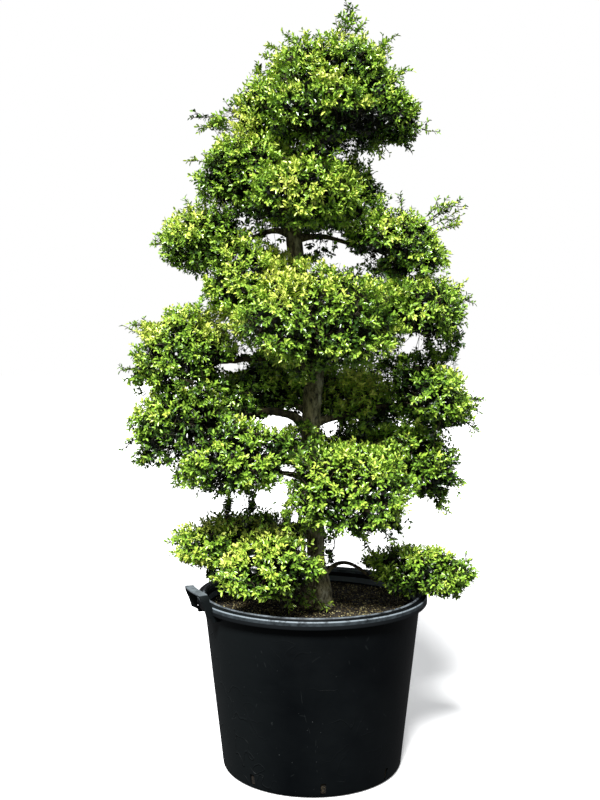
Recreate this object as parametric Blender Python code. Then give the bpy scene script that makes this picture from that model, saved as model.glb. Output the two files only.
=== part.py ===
# Japanese holly, cloud pruned, in a black nursery container.
# Metres, +Z up. The origin is the centre of the container's flat underside, and +X is the viewer's right.

import math
import random

import bmesh
import bpy
import numpy as np
from mathutils import Matrix, Vector

CLEAR = 0.0003  # gap left where two solids meet

# Container, a turned shell with a rolled lip
POT_HEIGHT = 0.490
POT_BASE_R = 0.252
POT_NECK_R = 0.308  # outside of the wall, carried up to the rim
POT_WALL = 0.005
LIP_R = 0.325
LIP_BOTTOM = 0.4615
POT_SIDES = 44
SLOT_COUNT = 8
SLOT_WIDTH = 0.018
SLOT_TOP = 0.042
SLOT_BOTTOM = 0.007
SLOT_FIRST_DEG = -84.0  # the slot that faces the viewer
SOIL_Z = 0.445

# Two strap handles, hooked under the lip
HANDLE_DEG = {"handle_left": 204.0, "handle_right": 24.0}
HANDLE_SPAN = 0.132  # between the middles of the two legs
HANDLE_TOP = 0.5200
HANDLE_THICK = 0.005
HANDLE_CORNER = 0.014

# Trunk: height, x, y and radius, from the cut at the soil to the tip inside the top mass
TRUNK = (
    (0.4453, 0.012, -0.026, 0.046),
    (0.4600, 0.012, -0.026, 0.0400),
    (0.4850, 0.015, -0.025, 0.0375),
    (0.5080, 0.017, -0.024, 0.0350),
    (0.5350, 0.016, -0.022, 0.0290),
    (0.5750, 0.010, -0.020, 0.0248),
    (0.6500, 0.010, -0.020, 0.0245),
    (0.7800, 0.006, -0.020, 0.0252),
    (0.9000, -0.004, -0.020, 0.0254),
    (0.9600, -0.004, -0.020, 0.0258),
    (1.0300, 0.001, -0.020, 0.0264),
    (1.1000, 0.008, -0.020, 0.0262),
    (1.2800, -0.017, -0.020, 0.0248),
    (1.4200, -0.044, -0.020, 0.0230),
    (1.5000, -0.054, -0.020, 0.0220),
    (1.5700, -0.050, -0.016, 0.0188),
    (1.6400, -0.032, -0.010, 0.0165),
    (1.7200, 0.000, -0.004, 0.0140),
    (1.8050, 0.040, 0.000, 0.0110),
)
TRUNK_SIDES = 10
ROOT_LOBES = 5
ROOT_SWELL = 0.12  # how far the root lobes stand out at the cut, as a share of the radius

# Masses of foliage. at: centre. size: half length along x, half depth along y and half height.
# dip: degrees by which the outer side hangs. leaves: where its bough leaves the trunk, or, with
# direct set, its own stem. lift: how far the bough arches up. girth: the bough's radius at the trunk.
# wild: the tips of long unclipped shoots.
MASSES = {
    "crown_top": dict(at=(0.052, 0.000, 1.928), size=(0.190, 0.165, 0.122), dip=0, leaves=None,
                      wild=((0.112, 0.000, 2.125), (0.080, -0.010, 2.085), (-0.085, 0.000, 2.055))),
    "crown_right": dict(at=(0.203, -0.035, 1.806), size=(0.119, 0.135, 0.100), dip=22, leaves=1.765),
    "crown_left": dict(at=(-0.104, 0.010, 1.826), size=(0.132, 0.135, 0.108), dip=26, leaves=1.735),
    "crown_front": dict(at=(0.025, -0.150, 1.795), size=(0.150, 0.110, 0.092), dip=22, leaves=1.715,
                        direct=True),
    "crown_back": dict(at=(0.085, 0.185, 1.870), size=(0.185, 0.155, 0.130), dip=20, leaves=1.700),
    "shoulder_left": dict(at=(-0.190, -0.030, 1.668), size=(0.150, 0.150, 0.130), dip=12, leaves=1.580,
                          wild=((-0.322, -0.010, 1.800),)),
    "shoulder_front": dict(at=(-0.025, -0.175, 1.575), size=(0.150, 0.125, 0.105), dip=20, leaves=1.540,
                           direct=True),
    "shoulder_right": dict(at=(0.098, 0.020, 1.606), size=(0.120, 0.130, 0.110), dip=20, leaves=1.560),
    "shoulder_back": dict(at=(-0.030, 0.215, 1.635), size=(0.200, 0.160, 0.150), dip=16, leaves=1.545),
    "arm_right": dict(at=(0.228, 0.000, 1.463), size=(0.160, 0.155, 0.116), dip=12, leaves=1.470,
                      lift=0.20, wild=((0.400, 0.000, 1.580),)),
    "arm_left": dict(at=(-0.303, 0.000, 1.475), size=(0.130, 0.140, 0.100), dip=16, leaves=1.480,
                     lift=0.25),
    "brow_left": dict(at=(-0.160, -0.060, 1.338), size=(0.156, 0.155, 0.136), dip=14, leaves=1.250),
    "apron": dict(at=(0.012, -0.210, 1.235), size=(0.225, 0.160, 0.150), dip=16, leaves=1.150,
                  girth=0.011),
    "wing_left": dict(at=(-0.354, 0.000, 1.160), size=(0.159, 0.170, 0.142), dip=16, leaves=1.110,
                      girth=0.011, lift=0.20),
    "wing_right": dict(at=(0.297, -0.030, 1.276), size=(0.138, 0.155, 0.121), dip=14, leaves=1.215),
    "wing_back": dict(at=(0.070, 0.268, 1.262), size=(0.230, 0.182, 0.155), dip=16, leaves=1.180,
                      girth=0.010),
    "skirt_left": dict(at=(-0.369, -0.020, 0.966), size=(0.156, 0.150, 0.125), dip=14, leaves=0.915,
                       girth=0.013, lift=0.42, wild=((-0.520, -0.020, 0.905),)),
    "skirt_inner": dict(at=(-0.158, 0.100, 1.048), size=(0.142, 0.125, 0.100), dip=6, leaves=0.990),
    "skirt_right": dict(at=(0.318, 0.010, 1.037), size=(0.147, 0.160, 0.126), dip=14, leaves=0.960,
                        girth=0.010),
    "skirt_mid": dict(at=(0.135, 0.130, 1.020), size=(0.145, 0.125, 0.105), dip=8, leaves=0.955,
                      direct=True),
    "skirt_back": dict(at=(-0.090, 0.290, 1.075), size=(0.185, 0.150, 0.100), dip=12, leaves=1.010),
    "hem_left": dict(at=(-0.199, -0.130, 0.872), size=(0.180, 0.150, 0.113), dip=8, leaves=0.800,
                     girth=0.010),
    "hem_front": dict(at=(0.090, -0.180, 0.792), size=(0.180, 0.145, 0.148), dip=14, leaves=0.725,
                      girth=0.010),
    "hem_right": dict(at=(0.280, 0.030, 0.852), size=(0.147, 0.145, 0.116), dip=12, leaves=0.765,
                      wild=((0.365, 0.000, 0.735),)),
    "hem_back": dict(at=(0.085, 0.250, 0.832), size=(0.220, 0.172, 0.132), dip=12, leaves=0.715),
    "low_left": dict(at=(-0.231, 0.000, 0.620), size=(0.169, 0.140, 0.088), dip=4, leaves=0.560),
    "low_front": dict(at=(-0.115, -0.165, 0.592), size=(0.150, 0.120, 0.100), dip=6, leaves=0.540,
                      girth=0.010),
    "low_right": dict(at=(0.303, -0.050, 0.556), size=(0.170, 0.115, 0.082), dip=9, leaves=0.500,
                      girth=0.0065, lift=0.80),
    "low_back": dict(at=(-0.110, 0.205, 0.602), size=(0.155, 0.130, 0.085), dip=6, leaves=0.550),
}
GIRTH = 0.009
LIFT = 0.12
BOUGH_STEPS = 5
BOUGH_SIDES = 5
BOUGH_TAPER = 0.40
CORE_SHARE = 0.91  # of a mass's reach
BOUGH_SHARE = 0.96  # of a mass's reach, where its bough ends
MASS_GAP = 0.010  # between the spaces of two masses
LIMB_GAP = 0.004
CHANNEL_GAP = 0.0015  # around a limb that runs through a mass
UNDER_SHARE = 0.86  # the underside is flatter than the top
LOBES = 7
SHOOT_SPACING = 0.076  # between neighbouring shoots on a mass
TWIG_EVERY = 3  # one shoot in so many has a twig and two leaves, and the rest one leaf
LEAF_LENGTH = 0.064  # each stands for a spray of real leaves
LEAF_WIDTH = 0.033
LEAF_THICK = 0.0030

COLOURS = {
    "pot": ((0.020, 0.022, 0.025), 0.55),
    "soil": ((0.045, 0.032, 0.018), 0.95),
    "bark": ((0.130, 0.105, 0.075), 0.85),
    "foliage": ((0.090, 0.190, 0.030), 0.45),
}


def material(name):
    found = bpy.data.materials.get(name)
    if found:
        return found
    made = bpy.data.materials.new(name)
    made.use_nodes = True
    shader = made.node_tree.nodes["Principled BSDF"]
    colour, roughness = COLOURS[name]
    shader.inputs["Base Color"].default_value = (*colour, 1)
    shader.inputs["Roughness"].default_value = roughness
    shader.inputs["Metallic"].default_value = 0.0
    return made


def object_from(bm, name, look):
    """Puts a bmesh in the scene as one closed object facing out."""
    bmesh.ops.recalc_face_normals(bm, faces=bm.faces)
    mesh = bpy.data.meshes.new(name)
    bm.to_mesh(mesh)
    bm.free()
    mesh.materials.append(material(look))
    made = bpy.data.objects.new(name, mesh)
    bpy.context.scene.collection.objects.link(made)
    return made


def remove(*objects):
    for gone in objects:
        mesh = gone.data
        bpy.data.objects.remove(gone)
        bpy.data.meshes.remove(mesh)


def largest_island(bm):
    """Drops every loose scrap that a Boolean leaves beside the main body."""
    left = set(bm.verts)
    islands = []
    while left:
        seed = left.pop()
        island, front = {seed}, [seed]
        while front:
            for edge in front.pop().link_edges:
                for vert in edge.verts:
                    if vert in left:
                        left.discard(vert)
                        island.add(vert)
                        front.append(vert)
        islands.append(island)
    keep = max(islands, key=len)
    bmesh.ops.delete(bm, geom=[v for v in bm.verts if v not in keep], context="VERTS")


def apply_boolean(target, operation, cutter=None, parts=None, solver="EXACT"):
    modifier = target.modifiers.new("join", "BOOLEAN")
    modifier.operation = operation
    modifier.solver = solver
    if parts:
        modifier.operand_type = "COLLECTION"
        modifier.collection = parts
    else:
        modifier.object = cutter
    graph = bpy.context.evaluated_depsgraph_get()
    mesh = bpy.data.meshes.new_from_object(target.evaluated_get(graph))
    target.modifiers.clear()
    old, target.data = target.data, mesh
    mesh.name = target.name
    bpy.data.meshes.remove(old)
    bm = bmesh.new()
    bm.from_mesh(mesh)
    bmesh.ops.remove_doubles(bm, verts=bm.verts, dist=2e-6)
    largest_island(bm)
    bm.to_mesh(mesh)
    bm.free()


# Container and soil


def wall_radius(z):
    return POT_BASE_R + (POT_NECK_R - POT_BASE_R) * z / POT_HEIGHT


def turned(profile, name, look):
    """A closed solid turned from a profile whose two ends lie on the axis."""
    bm = bmesh.new()
    verts = [bm.verts.new((radius, 0, z)) for radius, z in profile]
    for a, b in zip(verts, verts[1:]):
        bm.edges.new((a, b))
    bmesh.ops.spin(bm, geom=bm.verts[:] + bm.edges[:], cent=(0, 0, 0), axis=(0, 0, 1),
                   angle=math.tau, steps=POT_SIDES, use_merge=True)
    bmesh.ops.remove_doubles(bm, verts=bm.verts, dist=1e-5)
    return object_from(bm, name, look)


def pot():
    inner = lambda z: wall_radius(z) - POT_WALL
    profile = (
        (0, 0), (POT_BASE_R - 0.006, 0), (POT_BASE_R - 0.001, 0.004), (wall_radius(0.012), 0.012),
        (wall_radius(LIP_BOTTOM), LIP_BOTTOM), (LIP_R - 0.0025, LIP_BOTTOM), (LIP_R, 0.467),
        (LIP_R, 0.478), (LIP_R - 0.005, 0.486), (LIP_R - 0.011, 0.4845), (LIP_R - 0.015, 0.489),
        (LIP_R - 0.0195, POT_HEIGHT), (inner(0.4875), 0.4875), (inner(0.010), 0.010),
        (inner(0.010) - 0.0045, POT_WALL), (0, POT_WALL),
    )
    shell = turned(profile, "pot", "pot")
    bm = bmesh.new()
    for number in range(SLOT_COUNT):
        angle = math.radians(SLOT_FIRST_DEG) + math.tau * number / SLOT_COUNT
        place = Matrix.Rotation(angle, 4, "Z") @ Matrix.Translation(
            (POT_BASE_R, 0, (SLOT_TOP + SLOT_BOTTOM) / 2))
        size = Matrix.Diagonal((0.030, SLOT_WIDTH, SLOT_TOP - SLOT_BOTTOM, 1))
        bmesh.ops.create_cube(bm, size=1.0, matrix=place @ size)
    slots = object_from(bm, "slots", "pot")
    apply_boolean(shell, "DIFFERENCE", cutter=slots)
    remove(slots)
    return shell


def soil():
    gap = 0.0006
    inner = lambda z: wall_radius(z) - POT_WALL - gap
    profile = (
        (0, POT_WALL + CLEAR), (inner(0.012) - 0.006, POT_WALL + CLEAR), (inner(0.012), 0.012),
        (inner(SOIL_Z), SOIL_Z), (0, SOIL_Z),
    )
    return turned(profile, "soil", "soil")


def facet_radius(radius, azimuth):
    """Where the flat-sided wall lies at an azimuth."""
    step = math.tau / POT_SIDES
    off = azimuth % step - step / 2
    return radius * math.cos(step / 2) / math.cos(off)


def handle(name, degrees):
    """A strap bent into a U, wide along the pot's radius, whose feet hook in under the lip."""
    half = HANDLE_SPAN / 2
    middle_r = 0.344
    leg = (  # height, inner and outer radius; an inner radius of None lies on the wall
        (0.444, None, 0.3240), (LIP_BOTTOM - 2 * CLEAR, None, 0.3420),
        (LIP_BOTTOM - CLEAR, LIP_R + CLEAR, 0.3425), (0.4850, LIP_R + 0.0015, 0.3500),
        (HANDLE_TOP - HANDLE_CORNER, 0.3350, 0.3590),
    )
    rings = [(-half, z, 1.0, 0.0, inside, outside) for z, inside, outside in leg]
    for step in range(1, 4):
        turn = math.pi / 2 * step / 3
        rings.append((-half + HANDLE_CORNER * (1 - math.cos(turn)),
                      HANDLE_TOP - HANDLE_CORNER * (1 - math.sin(turn)),
                      math.cos(turn), -math.sin(turn), 0.3380, 0.3615))
    for share in (-0.5, 0.0):
        rings.append((share * (HANDLE_SPAN - 2 * HANDLE_CORNER), HANDLE_TOP + 0.001, 0.0, -1.0,
                      0.3385, 0.3625))
    rings += [(-s, z, -ns, nz, a, b) for s, z, ns, nz, a, b in reversed(rings[:-1])]
    bm = bmesh.new()
    loops = []
    for s, z, ns, nz, inside, outside in rings:
        loop = []
        for side, outer in ((-1, False), (1, False), (1, True), (-1, True)):
            along = s + side * ns * HANDLE_THICK / 2
            height = z + side * nz * HANDLE_THICK / 2
            azimuth = math.radians(degrees) + along / middle_r
            if outer:
                radius = outside
            elif inside is None:
                radius = facet_radius(wall_radius(height), azimuth) + CLEAR
            else:
                radius = inside
            loop.append(bm.verts.new((radius * math.cos(azimuth), radius * math.sin(azimuth), height)))
        loops.append(loop)
    for one, two in zip(loops, loops[1:]):
        for i in range(4):
            j = (i + 1) % 4
            bm.faces.new((one[i], one[j], two[j], two[i]))
    bm.faces.new(loops[0])
    bm.faces.new(loops[-1])
    return object_from(bm, name, "pot")


# Trunk and boughs


def trunk_point(z):
    """The trunk's middle and radius at a height."""
    rows = np.array(TRUNK)
    x, y, radius = (float(np.interp(z, rows[:, 0], rows[:, i])) for i in (1, 2, 3))
    return Vector((x, y, z)), radius


def trunk(name="trunk", grow=0.0):
    bm = bmesh.new()
    loops = []
    for row, (z, x, y, radius) in enumerate(TRUNK):
        swell = ROOT_SWELL * max(0.0, 1 - row / 4)
        loop = []
        for side in range(TRUNK_SIDES):
            angle = math.tau * side / TRUNK_SIDES
            reach = (radius + grow) * (1 + swell * math.cos(ROOT_LOBES * angle + 0.6))
            loop.append(bm.verts.new((x + reach * math.cos(angle), y + reach * math.sin(angle), z)))
        loops.append(loop)
    skin(bm, loops)
    return object_from(bm, name, "bark")


def skin(bm, loops):
    """Joins rings of points into a closed tube."""
    for one, two in zip(loops, loops[1:]):
        for i, a in enumerate(one):
            j = (i + 1) % len(one)
            bm.faces.new((a, one[j], two[j], two[i]))
    bm.faces.new(loops[0])
    bm.faces.new(loops[-1])


def tube(bm, points, radii, sides):
    """A tapering tube along a line of points, with flat ends."""
    across = None
    loops = []
    for i, point in enumerate(points):
        ahead = points[min(i + 1, len(points) - 1)] - points[max(i - 1, 0)]
        ahead.normalize()
        if across is None:
            across = ahead.orthogonal().normalized()
        across = (across - ahead * across.dot(ahead)).normalized()
        other = ahead.cross(across)
        turns = (math.tau * side / sides for side in range(sides))
        loops.append([bm.verts.new(point + radii[i] * (across * math.cos(a) + other * math.sin(a)))
                      for a in turns])
    skin(bm, loops)


def bezier(a, b, c, d, steps):
    for i in range(steps + 1):
        t = i / steps
        s = 1 - t
        yield a * s**3 + b * 3 * s * s * t + c * 3 * s * t * t + d * t**3


class Space:
    """The space that one mass keeps to: an ellipsoid with rounded lumps, tipped down at its outer side."""

    def __init__(self, name, plan):
        self.name = name
        self.plan = plan
        self.centre = Vector(plan["at"])
        self.size = Vector(plan["size"])
        self.mean = sum(self.size) / 3
        self.random = random.Random(name)
        start, _ = trunk_point(plan["leaves"] or self.centre.z)
        out = Vector((self.centre.x - start.x, self.centre.y - start.y, 0)).normalized()
        hinge = Vector((0, 0, 1)).cross(out)
        self.turn = Matrix.Rotation(math.radians(plan["dip"]), 3, hinge)
        self.back = self.turn.transposed()
        self.lobes = [self.unit() for _ in range(LOBES)]

    def unit(self):
        return Vector([self.random.gauss(0, 1) for _ in range(3)]).normalized()

    def lump(self, way):
        """How far the space reaches along a local direction, as a share of its size."""
        return 0.95 + 0.16 * max(max(0.0, way.dot(lobe)) ** 6 for lobe in self.lobes)

    def local(self, way):
        size = self.size.copy()
        if way.z < 0:
            size.z *= UNDER_SHARE
        return size

    def point(self, way, share):
        """The place at a share of the reach along a local unit direction."""
        size = self.local(way)
        reach = Vector(w * s for w, s in zip(way, size)) * (self.lump(way) * share)
        return self.centre + self.turn @ reach

    def depth(self, place):
        """0 at the centre, 1 at the surface."""
        local = self.back @ (place - self.centre)
        size = self.local(local)
        scaled = Vector(a / s for a, s in zip(local, size))
        if scaled.length < 1e-9:
            return 0.0
        return scaled.length / self.lump(scaled.normalized())


def owned(space, spaces, place, gap):
    """True if a place is nearer this mass, by its own measure, than any other."""
    mine = space.depth(place)
    return all((other.depth(place) - mine) * (other.mean + space.mean) / 2 > gap
               for other in spaces if other is not space)


def bough_line(space):
    """The middle line of the bough from inside the trunk to the edge of its mass, and its radii."""
    plan = space.plan
    start, _ = trunk_point(plan["leaves"])
    inward = (start - space.centre).normalized()
    local = space.back @ inward
    size = space.local(local)
    way = Vector(a / s for a, s in zip(local, size)).normalized()
    tip = space.point(way, BOUGH_SHARE)
    run = (tip - start).length
    out = Vector((tip.x - start.x, tip.y - start.y, 0)).normalized()
    up = Vector((0, 0, plan.get("lift", LIFT) * run))
    entry = (space.centre - tip).normalized()
    bends = (start + out * run * 0.30 + up, tip - entry * run * 0.30 + up * 0.5)
    line = list(bezier(start, *bends, tip, BOUGH_STEPS))
    first = plan.get("girth", GIRTH)
    radii = [first * (1 - BOUGH_TAPER * i / BOUGH_STEPS) for i in range(BOUGH_STEPS + 1)]
    return line, radii


def bough(space, trunk_grown):
    line, radii = bough_line(space)
    bm = bmesh.new()
    tube(bm, line, radii, BOUGH_SIDES)
    made = object_from(bm, "bough_" + space.name, "bark")
    apply_boolean(made, "DIFFERENCE", cutter=trunk_grown)
    return made


# Foliage


class Obstacles:
    """Limbs as lines of points with radii, and boxes, that foliage stays clear of."""

    def __init__(self):
        self.starts, self.ends, self.radii, self.boxes = [], [], [], []

    def add_line(self, points, radii):
        for a, b, ra, rb in zip(points, points[1:], radii, radii[1:]):
            self.starts.append(a)
            self.ends.append(b)
            self.radii.append(max(ra, rb))

    def clear(self, place, gap):
        a, b = np.array(self.starts), np.array(self.ends)
        p = np.array(place)
        run = b - a
        t = np.clip(((p - a) * run).sum(1) / (run * run).sum(1), 0, 1)
        off = np.linalg.norm(p - (a + run * t[:, None]), axis=1)
        return not (off - np.array(self.radii) < gap).any() and self.outside_boxes(place, gap)

    def outside_boxes(self, place, gap):
        return not any(all(lo - gap < v < hi + gap for v, lo, hi in zip(place, low, high))
                       for low, high in self.boxes)


def add_part(bm, parts, name):
    made = object_from(bm, name, "foliage")
    bpy.context.scene.collection.objects.unlink(made)
    parts.objects.link(made)


def leaf_points(root, way, face):
    side = way.cross(face).normalized()
    face = side.cross(way)
    middle = root + way * LEAF_LENGTH * 0.5
    return (root, root + way * LEAF_LENGTH, middle - side * LEAF_WIDTH / 2,
            middle + side * LEAF_WIDTH / 2, middle + face * LEAF_THICK / 2,
            middle - face * LEAF_THICK / 2)


def leaf(points):
    """A flat eight-faced blade."""
    bm = bmesh.new()
    root, tip, left, right, top, bottom = (bm.verts.new(p) for p in points)
    for ridge in (top, bottom):
        for a, b in ((root, left), (left, tip), (tip, right), (right, root)):
            bm.faces.new((a, b, ridge))
    return bm


def shoot_ways(space):
    """Local directions spread evenly over a mass, all but its underside, with a seeded jitter."""
    area = 4 * math.pi * (space.mean * 0.92) ** 2
    count = max(8, round(area / SHOOT_SPACING**2))
    golden = math.pi * (3 - math.sqrt(5))
    first = space.random.uniform(0, math.tau)
    for i in range(count):
        z = 1 - 2 * (i + 0.5) / count
        if z < -0.62:
            continue
        flat = math.sqrt(1 - z * z)
        way = Vector((flat * math.cos(first + golden * i), flat * math.sin(first + golden * i), z))
        yield (way + space.unit() * 0.12).normalized()


def shoot(space, way, inside, obstacles, parts, name, with_twig):
    """One leaf sunk in the core or, with a twig, two leaves on it. A leaf with no room is left out."""
    for share in (1.0, 0.94, 0.88):
        tip = space.point(way, share)
        if inside(tip, MASS_GAP / 2):
            break
    else:
        return
    root = space.point(way, CORE_SHARE * 0.6)
    ahead = (tip - root).normalized()
    neck = tip - ahead * LEAF_LENGTH * 0.75
    across = Matrix.Rotation(space.random.uniform(0, math.tau), 3, ahead) @ ahead.orthogonal()
    across.normalize()
    spreads = (0.45, -0.55) if with_twig else (0.25,)
    placed = 0
    for number, spread in enumerate(spreads):
        leaf_way = ahead * math.cos(spread) + across * math.sin(spread)
        points = leaf_points(neck - ahead * 0.006 * number, leaf_way, across - ahead * spread)
        checks = (*points, (points[1] + points[2]) / 2, (points[1] + points[3]) / 2)
        if all(inside(p, MASS_GAP / 2) and space.depth(p) < 1.08 for p in checks):
            add_part(leaf(points), parts, f"{name}_leaf_{number}")
            placed += 1
    twig_line = (root, neck + ahead * 0.010)
    if with_twig and placed and all(obstacles.clear(p, LIMB_GAP + 0.003) for p in twig_line):
        bm = bmesh.new()
        tube(bm, twig_line, (0.0052, 0.0030), 3)
        add_part(bm, parts, name + "_twig")


def mass(space, spaces, obstacles, limbs, trunk_grown):
    """A core that twigs and leaves stand out of, all fused to one stem that meets the bough."""
    inside = lambda p, gap: owned(space, spaces, p, gap) and obstacles.clear(p, LIMB_GAP)
    parts = bpy.data.collections.new(space.name + "_parts")
    bpy.context.scene.collection.children.link(parts)

    bm = bmesh.new()
    bmesh.ops.create_icosphere(bm, subdivisions=2, radius=1.0)
    for vert in bm.verts:
        way = vert.co.normalized()
        share = CORE_SHARE
        while share > 0.15 and not (owned(space, spaces, space.point(way, share), MASS_GAP * 1.2)
                                    and obstacles.outside_boxes(space.point(way, share), LIMB_GAP)):
            share -= 0.02
        vert.co = space.point(way, share)
    core = object_from(bm, space.name, "foliage")

    for number, way in enumerate(shoot_ways(space)):
        name = f"{space.name}_shoot_{number}"
        shoot(space, way, inside, obstacles, parts, name, number % TWIG_EVERY == 0)

    for number, tip in enumerate(space.plan.get("wild", ())):
        wild_shoot(space, Vector(tip), parts, number)

    if space.name in limbs:
        line, radii = limbs[space.name]
        ahead = (space.centre - line[-1]).normalized()
        start, girth = line[-1] + (line[-1] - line[-2]).normalized() * CLEAR, radii[-1]
    elif space.plan["leaves"]:
        start, _ = trunk_point(space.plan["leaves"])
        ahead, girth = (space.centre - start).normalized(), GIRTH * 0.8
    else:
        start, girth = trunk_point(TRUNK[-1][0])
        start.z += CLEAR
        ahead, girth = Vector((0, 0, 1)), girth * 0.9
    bm = bmesh.new()
    if space.name in limbs:
        first = (line[-1] - line[-2]).normalized()
        tube(bm, [start, start + first * 0.012, start + first * 0.012 + ahead * 0.070],
             [girth * 0.95, girth * 0.95, girth * 0.7], 5)
    else:
        run = max(0.05, (space.centre - start).length * 0.85)
        steps = (0, 0.5, 1)
        tube(bm, [start + ahead * run * t for t in steps], [girth * (1 - 0.2 * t) for t in steps], 5)
    add_part(bm, parts, space.name + "_stem")

    faces_before = len(core.data.polygons)
    apply_boolean(core, "UNION", parts=parts)
    if len(core.data.polygons) <= faces_before:
        raise RuntimeError(space.name + ": the union failed")
    remove(*parts.objects)
    bpy.data.collections.remove(parts)
    if space.plan.get("direct"):
        apply_boolean(core, "DIFFERENCE", cutter=trunk_grown)
    cut_clear(core, space, limbs)
    return core


def wild_shoot(space, tip, parts, number):
    """A long unclipped shoot with a few leaves, from the core out to its tip."""
    root = space.centre + (tip - space.centre) * 0.35
    ahead = (tip - root).normalized()
    bm = bmesh.new()
    tube(bm, (root, tip - ahead * LEAF_LENGTH * 0.5), (0.0050, 0.0024), 3)
    add_part(bm, parts, f"{space.name}_wild_{number}")
    side = ahead.orthogonal().normalized()
    stations = ((0.0, LEAF_LENGTH), (0.75, LEAF_LENGTH * 1.35), (0.75, LEAF_LENGTH * 1.7))
    for i, (spread, below) in enumerate(stations):
        lean = Matrix.Rotation(math.pi * i + 0.5, 3, ahead) @ side
        way = (ahead * math.cos(spread) + lean * math.sin(spread)).normalized()
        points = leaf_points(tip - ahead * below, way, lean.cross(ahead) * 0.3 + space.unit())
        add_part(leaf(points), parts, f"{space.name}_wild_{number}_{i}")


def cut_clear(core, space, limbs):
    """Cuts a channel through a mass for each limb that runs through it."""
    for name, (line, radii) in limbs.items():
        ends_here = name == space.name or (name == "trunk" and space.plan["leaves"] is None)
        if ends_here or (name == "trunk" and space.plan.get("direct")):
            continue
        middles = [(a + b) / 2 for a, b in zip(line, line[1:])]
        if all(space.depth(p) > 1.15 for p in (*line, *middles)):
            continue
        if name == "trunk":
            channel = trunk("channel", CHANNEL_GAP)
        else:
            bm = bmesh.new()
            past = line[-1] + (line[-1] - line[-2]).normalized() * CHANNEL_GAP
            tube(bm, [*line[:-1], past], [r + CHANNEL_GAP for r in radii], BOUGH_SIDES)
            channel = object_from(bm, "channel", "bark")
        apply_boolean(core, "DIFFERENCE", cutter=channel)
        remove(channel)


def main():
    for old in list(bpy.data.objects):
        bpy.data.objects.remove(old)
    pot()
    soil()
    for name, degrees in HANDLE_DEG.items():
        handle(name, degrees)
    trunk()
    trunk_grown = trunk("trunk_grown", CLEAR * 1.2)

    spaces = [Space(name, plan) for name, plan in MASSES.items()]
    obstacles = Obstacles()
    rows = [trunk_point(row[0]) for row in TRUNK]
    limbs = {"trunk": ([p for p, _ in rows], [r for _, r in rows])}
    for space in spaces:
        if space.plan["leaves"] and not space.plan.get("direct"):
            limbs[space.name] = bough_line(space)
            bough(space, trunk_grown)
    for line, radii in limbs.values():
        obstacles.add_line(line, radii)
    for degrees in HANDLE_DEG.values():
        angle = math.radians(degrees)
        x, y = 0.338 * math.cos(angle), 0.338 * math.sin(angle)
        obstacles.boxes.append(((x - 0.060, y - 0.080, 0.0), (x + 0.060, y + 0.080, 0.532)))
    obstacles.boxes.append(((-LIP_R, -LIP_R, 0.0), (LIP_R, LIP_R, POT_HEIGHT + 0.004)))
    for space in spaces:
        mass(space, spaces, obstacles, limbs, trunk_grown)
    remove(trunk_grown)


main()
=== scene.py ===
import math
import random

import bmesh
import bpy
import numpy as np
from mathutils import Matrix, Vector, kdtree, noise


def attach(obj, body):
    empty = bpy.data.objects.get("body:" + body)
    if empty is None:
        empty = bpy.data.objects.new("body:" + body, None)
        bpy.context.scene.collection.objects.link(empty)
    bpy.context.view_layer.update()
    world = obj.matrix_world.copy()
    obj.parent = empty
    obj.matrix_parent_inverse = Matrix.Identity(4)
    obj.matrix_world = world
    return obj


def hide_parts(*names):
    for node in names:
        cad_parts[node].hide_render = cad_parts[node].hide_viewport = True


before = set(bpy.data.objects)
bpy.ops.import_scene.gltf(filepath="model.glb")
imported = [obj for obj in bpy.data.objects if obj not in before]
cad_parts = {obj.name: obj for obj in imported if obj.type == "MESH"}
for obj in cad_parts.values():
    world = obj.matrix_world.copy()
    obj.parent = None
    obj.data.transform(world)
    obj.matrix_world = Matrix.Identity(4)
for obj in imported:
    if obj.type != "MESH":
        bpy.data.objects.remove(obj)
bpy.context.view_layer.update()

scene = bpy.context.scene
goldenTurn = math.pi * (3 - math.sqrt(5))


def linear(red, green, blue):
    # a colour as a screen shows it, 0 to 255, to what a shader takes
    return [((c / 255 + 0.055) / 1.055) ** 2.4 if c > 10 else c / 3295 for c in (red, green, blue)]


# Camera, light and floor
view = dict(place=(-0.034, -2.70, 1.145), pitch=2.49, lens=43.155, sensor=36)
light = dict(skyTop=0.44, skyLow=0.04, skyTint=(0.94, 0.97, 1.0), sun=7.2, sunTurn=-102.0, sunHeight=49.0,
             sunSpread=14.0, floorTint=(0.90, 0.90, 0.90), floorGlow=0.30, floorRadius=60, floorDrop=0.001)


def linked(name, data):
    made = bpy.data.objects.new(name, data)
    scene.collection.objects.link(made)
    return made


def meshFrom(bm, name):
    mesh = bpy.data.meshes.new(name)
    bm.to_mesh(mesh)
    bm.free()
    return mesh


def give(tree, value, socket):
    # another node's output, a colour or a number into a socket
    if isinstance(value, bpy.types.NodeSocket):
        tree.links.new(value, socket)
    else:
        socket.default_value = (*value, 1) if socket.type == "RGBA" else value


def nodeOf(tree, kind, **settings):
    # a new node with its settings and inputs, whose names have _ for a space
    made = tree.nodes.new(kind)
    for key, value in settings.items():
        if hasattr(made, key):
            setattr(made, key, value)
        else:
            give(tree, value, made.inputs[key.replace("_", " ")])
    return made


def noiseOf(tree, vector, **settings):
    return nodeOf(tree, "ShaderNodeTexNoise", Vector=vector, **settings).outputs["Fac"]


def ramped(tree, value, low, high, start=0.0, end=1.0):
    return nodeOf(tree, "ShaderNodeMapRange", Value=value, From_Min=low, From_Max=high, To_Min=start,
                  To_Max=end).outputs["Result"]


def sums(tree, operation, *values):
    made = nodeOf(tree, "ShaderNodeMath", operation=operation)
    for socket, value in zip(made.inputs, values):
        give(tree, value, socket)
    return made.outputs[0]


def times(tree, one, two):
    return sums(tree, "MULTIPLY", one, two)


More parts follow.
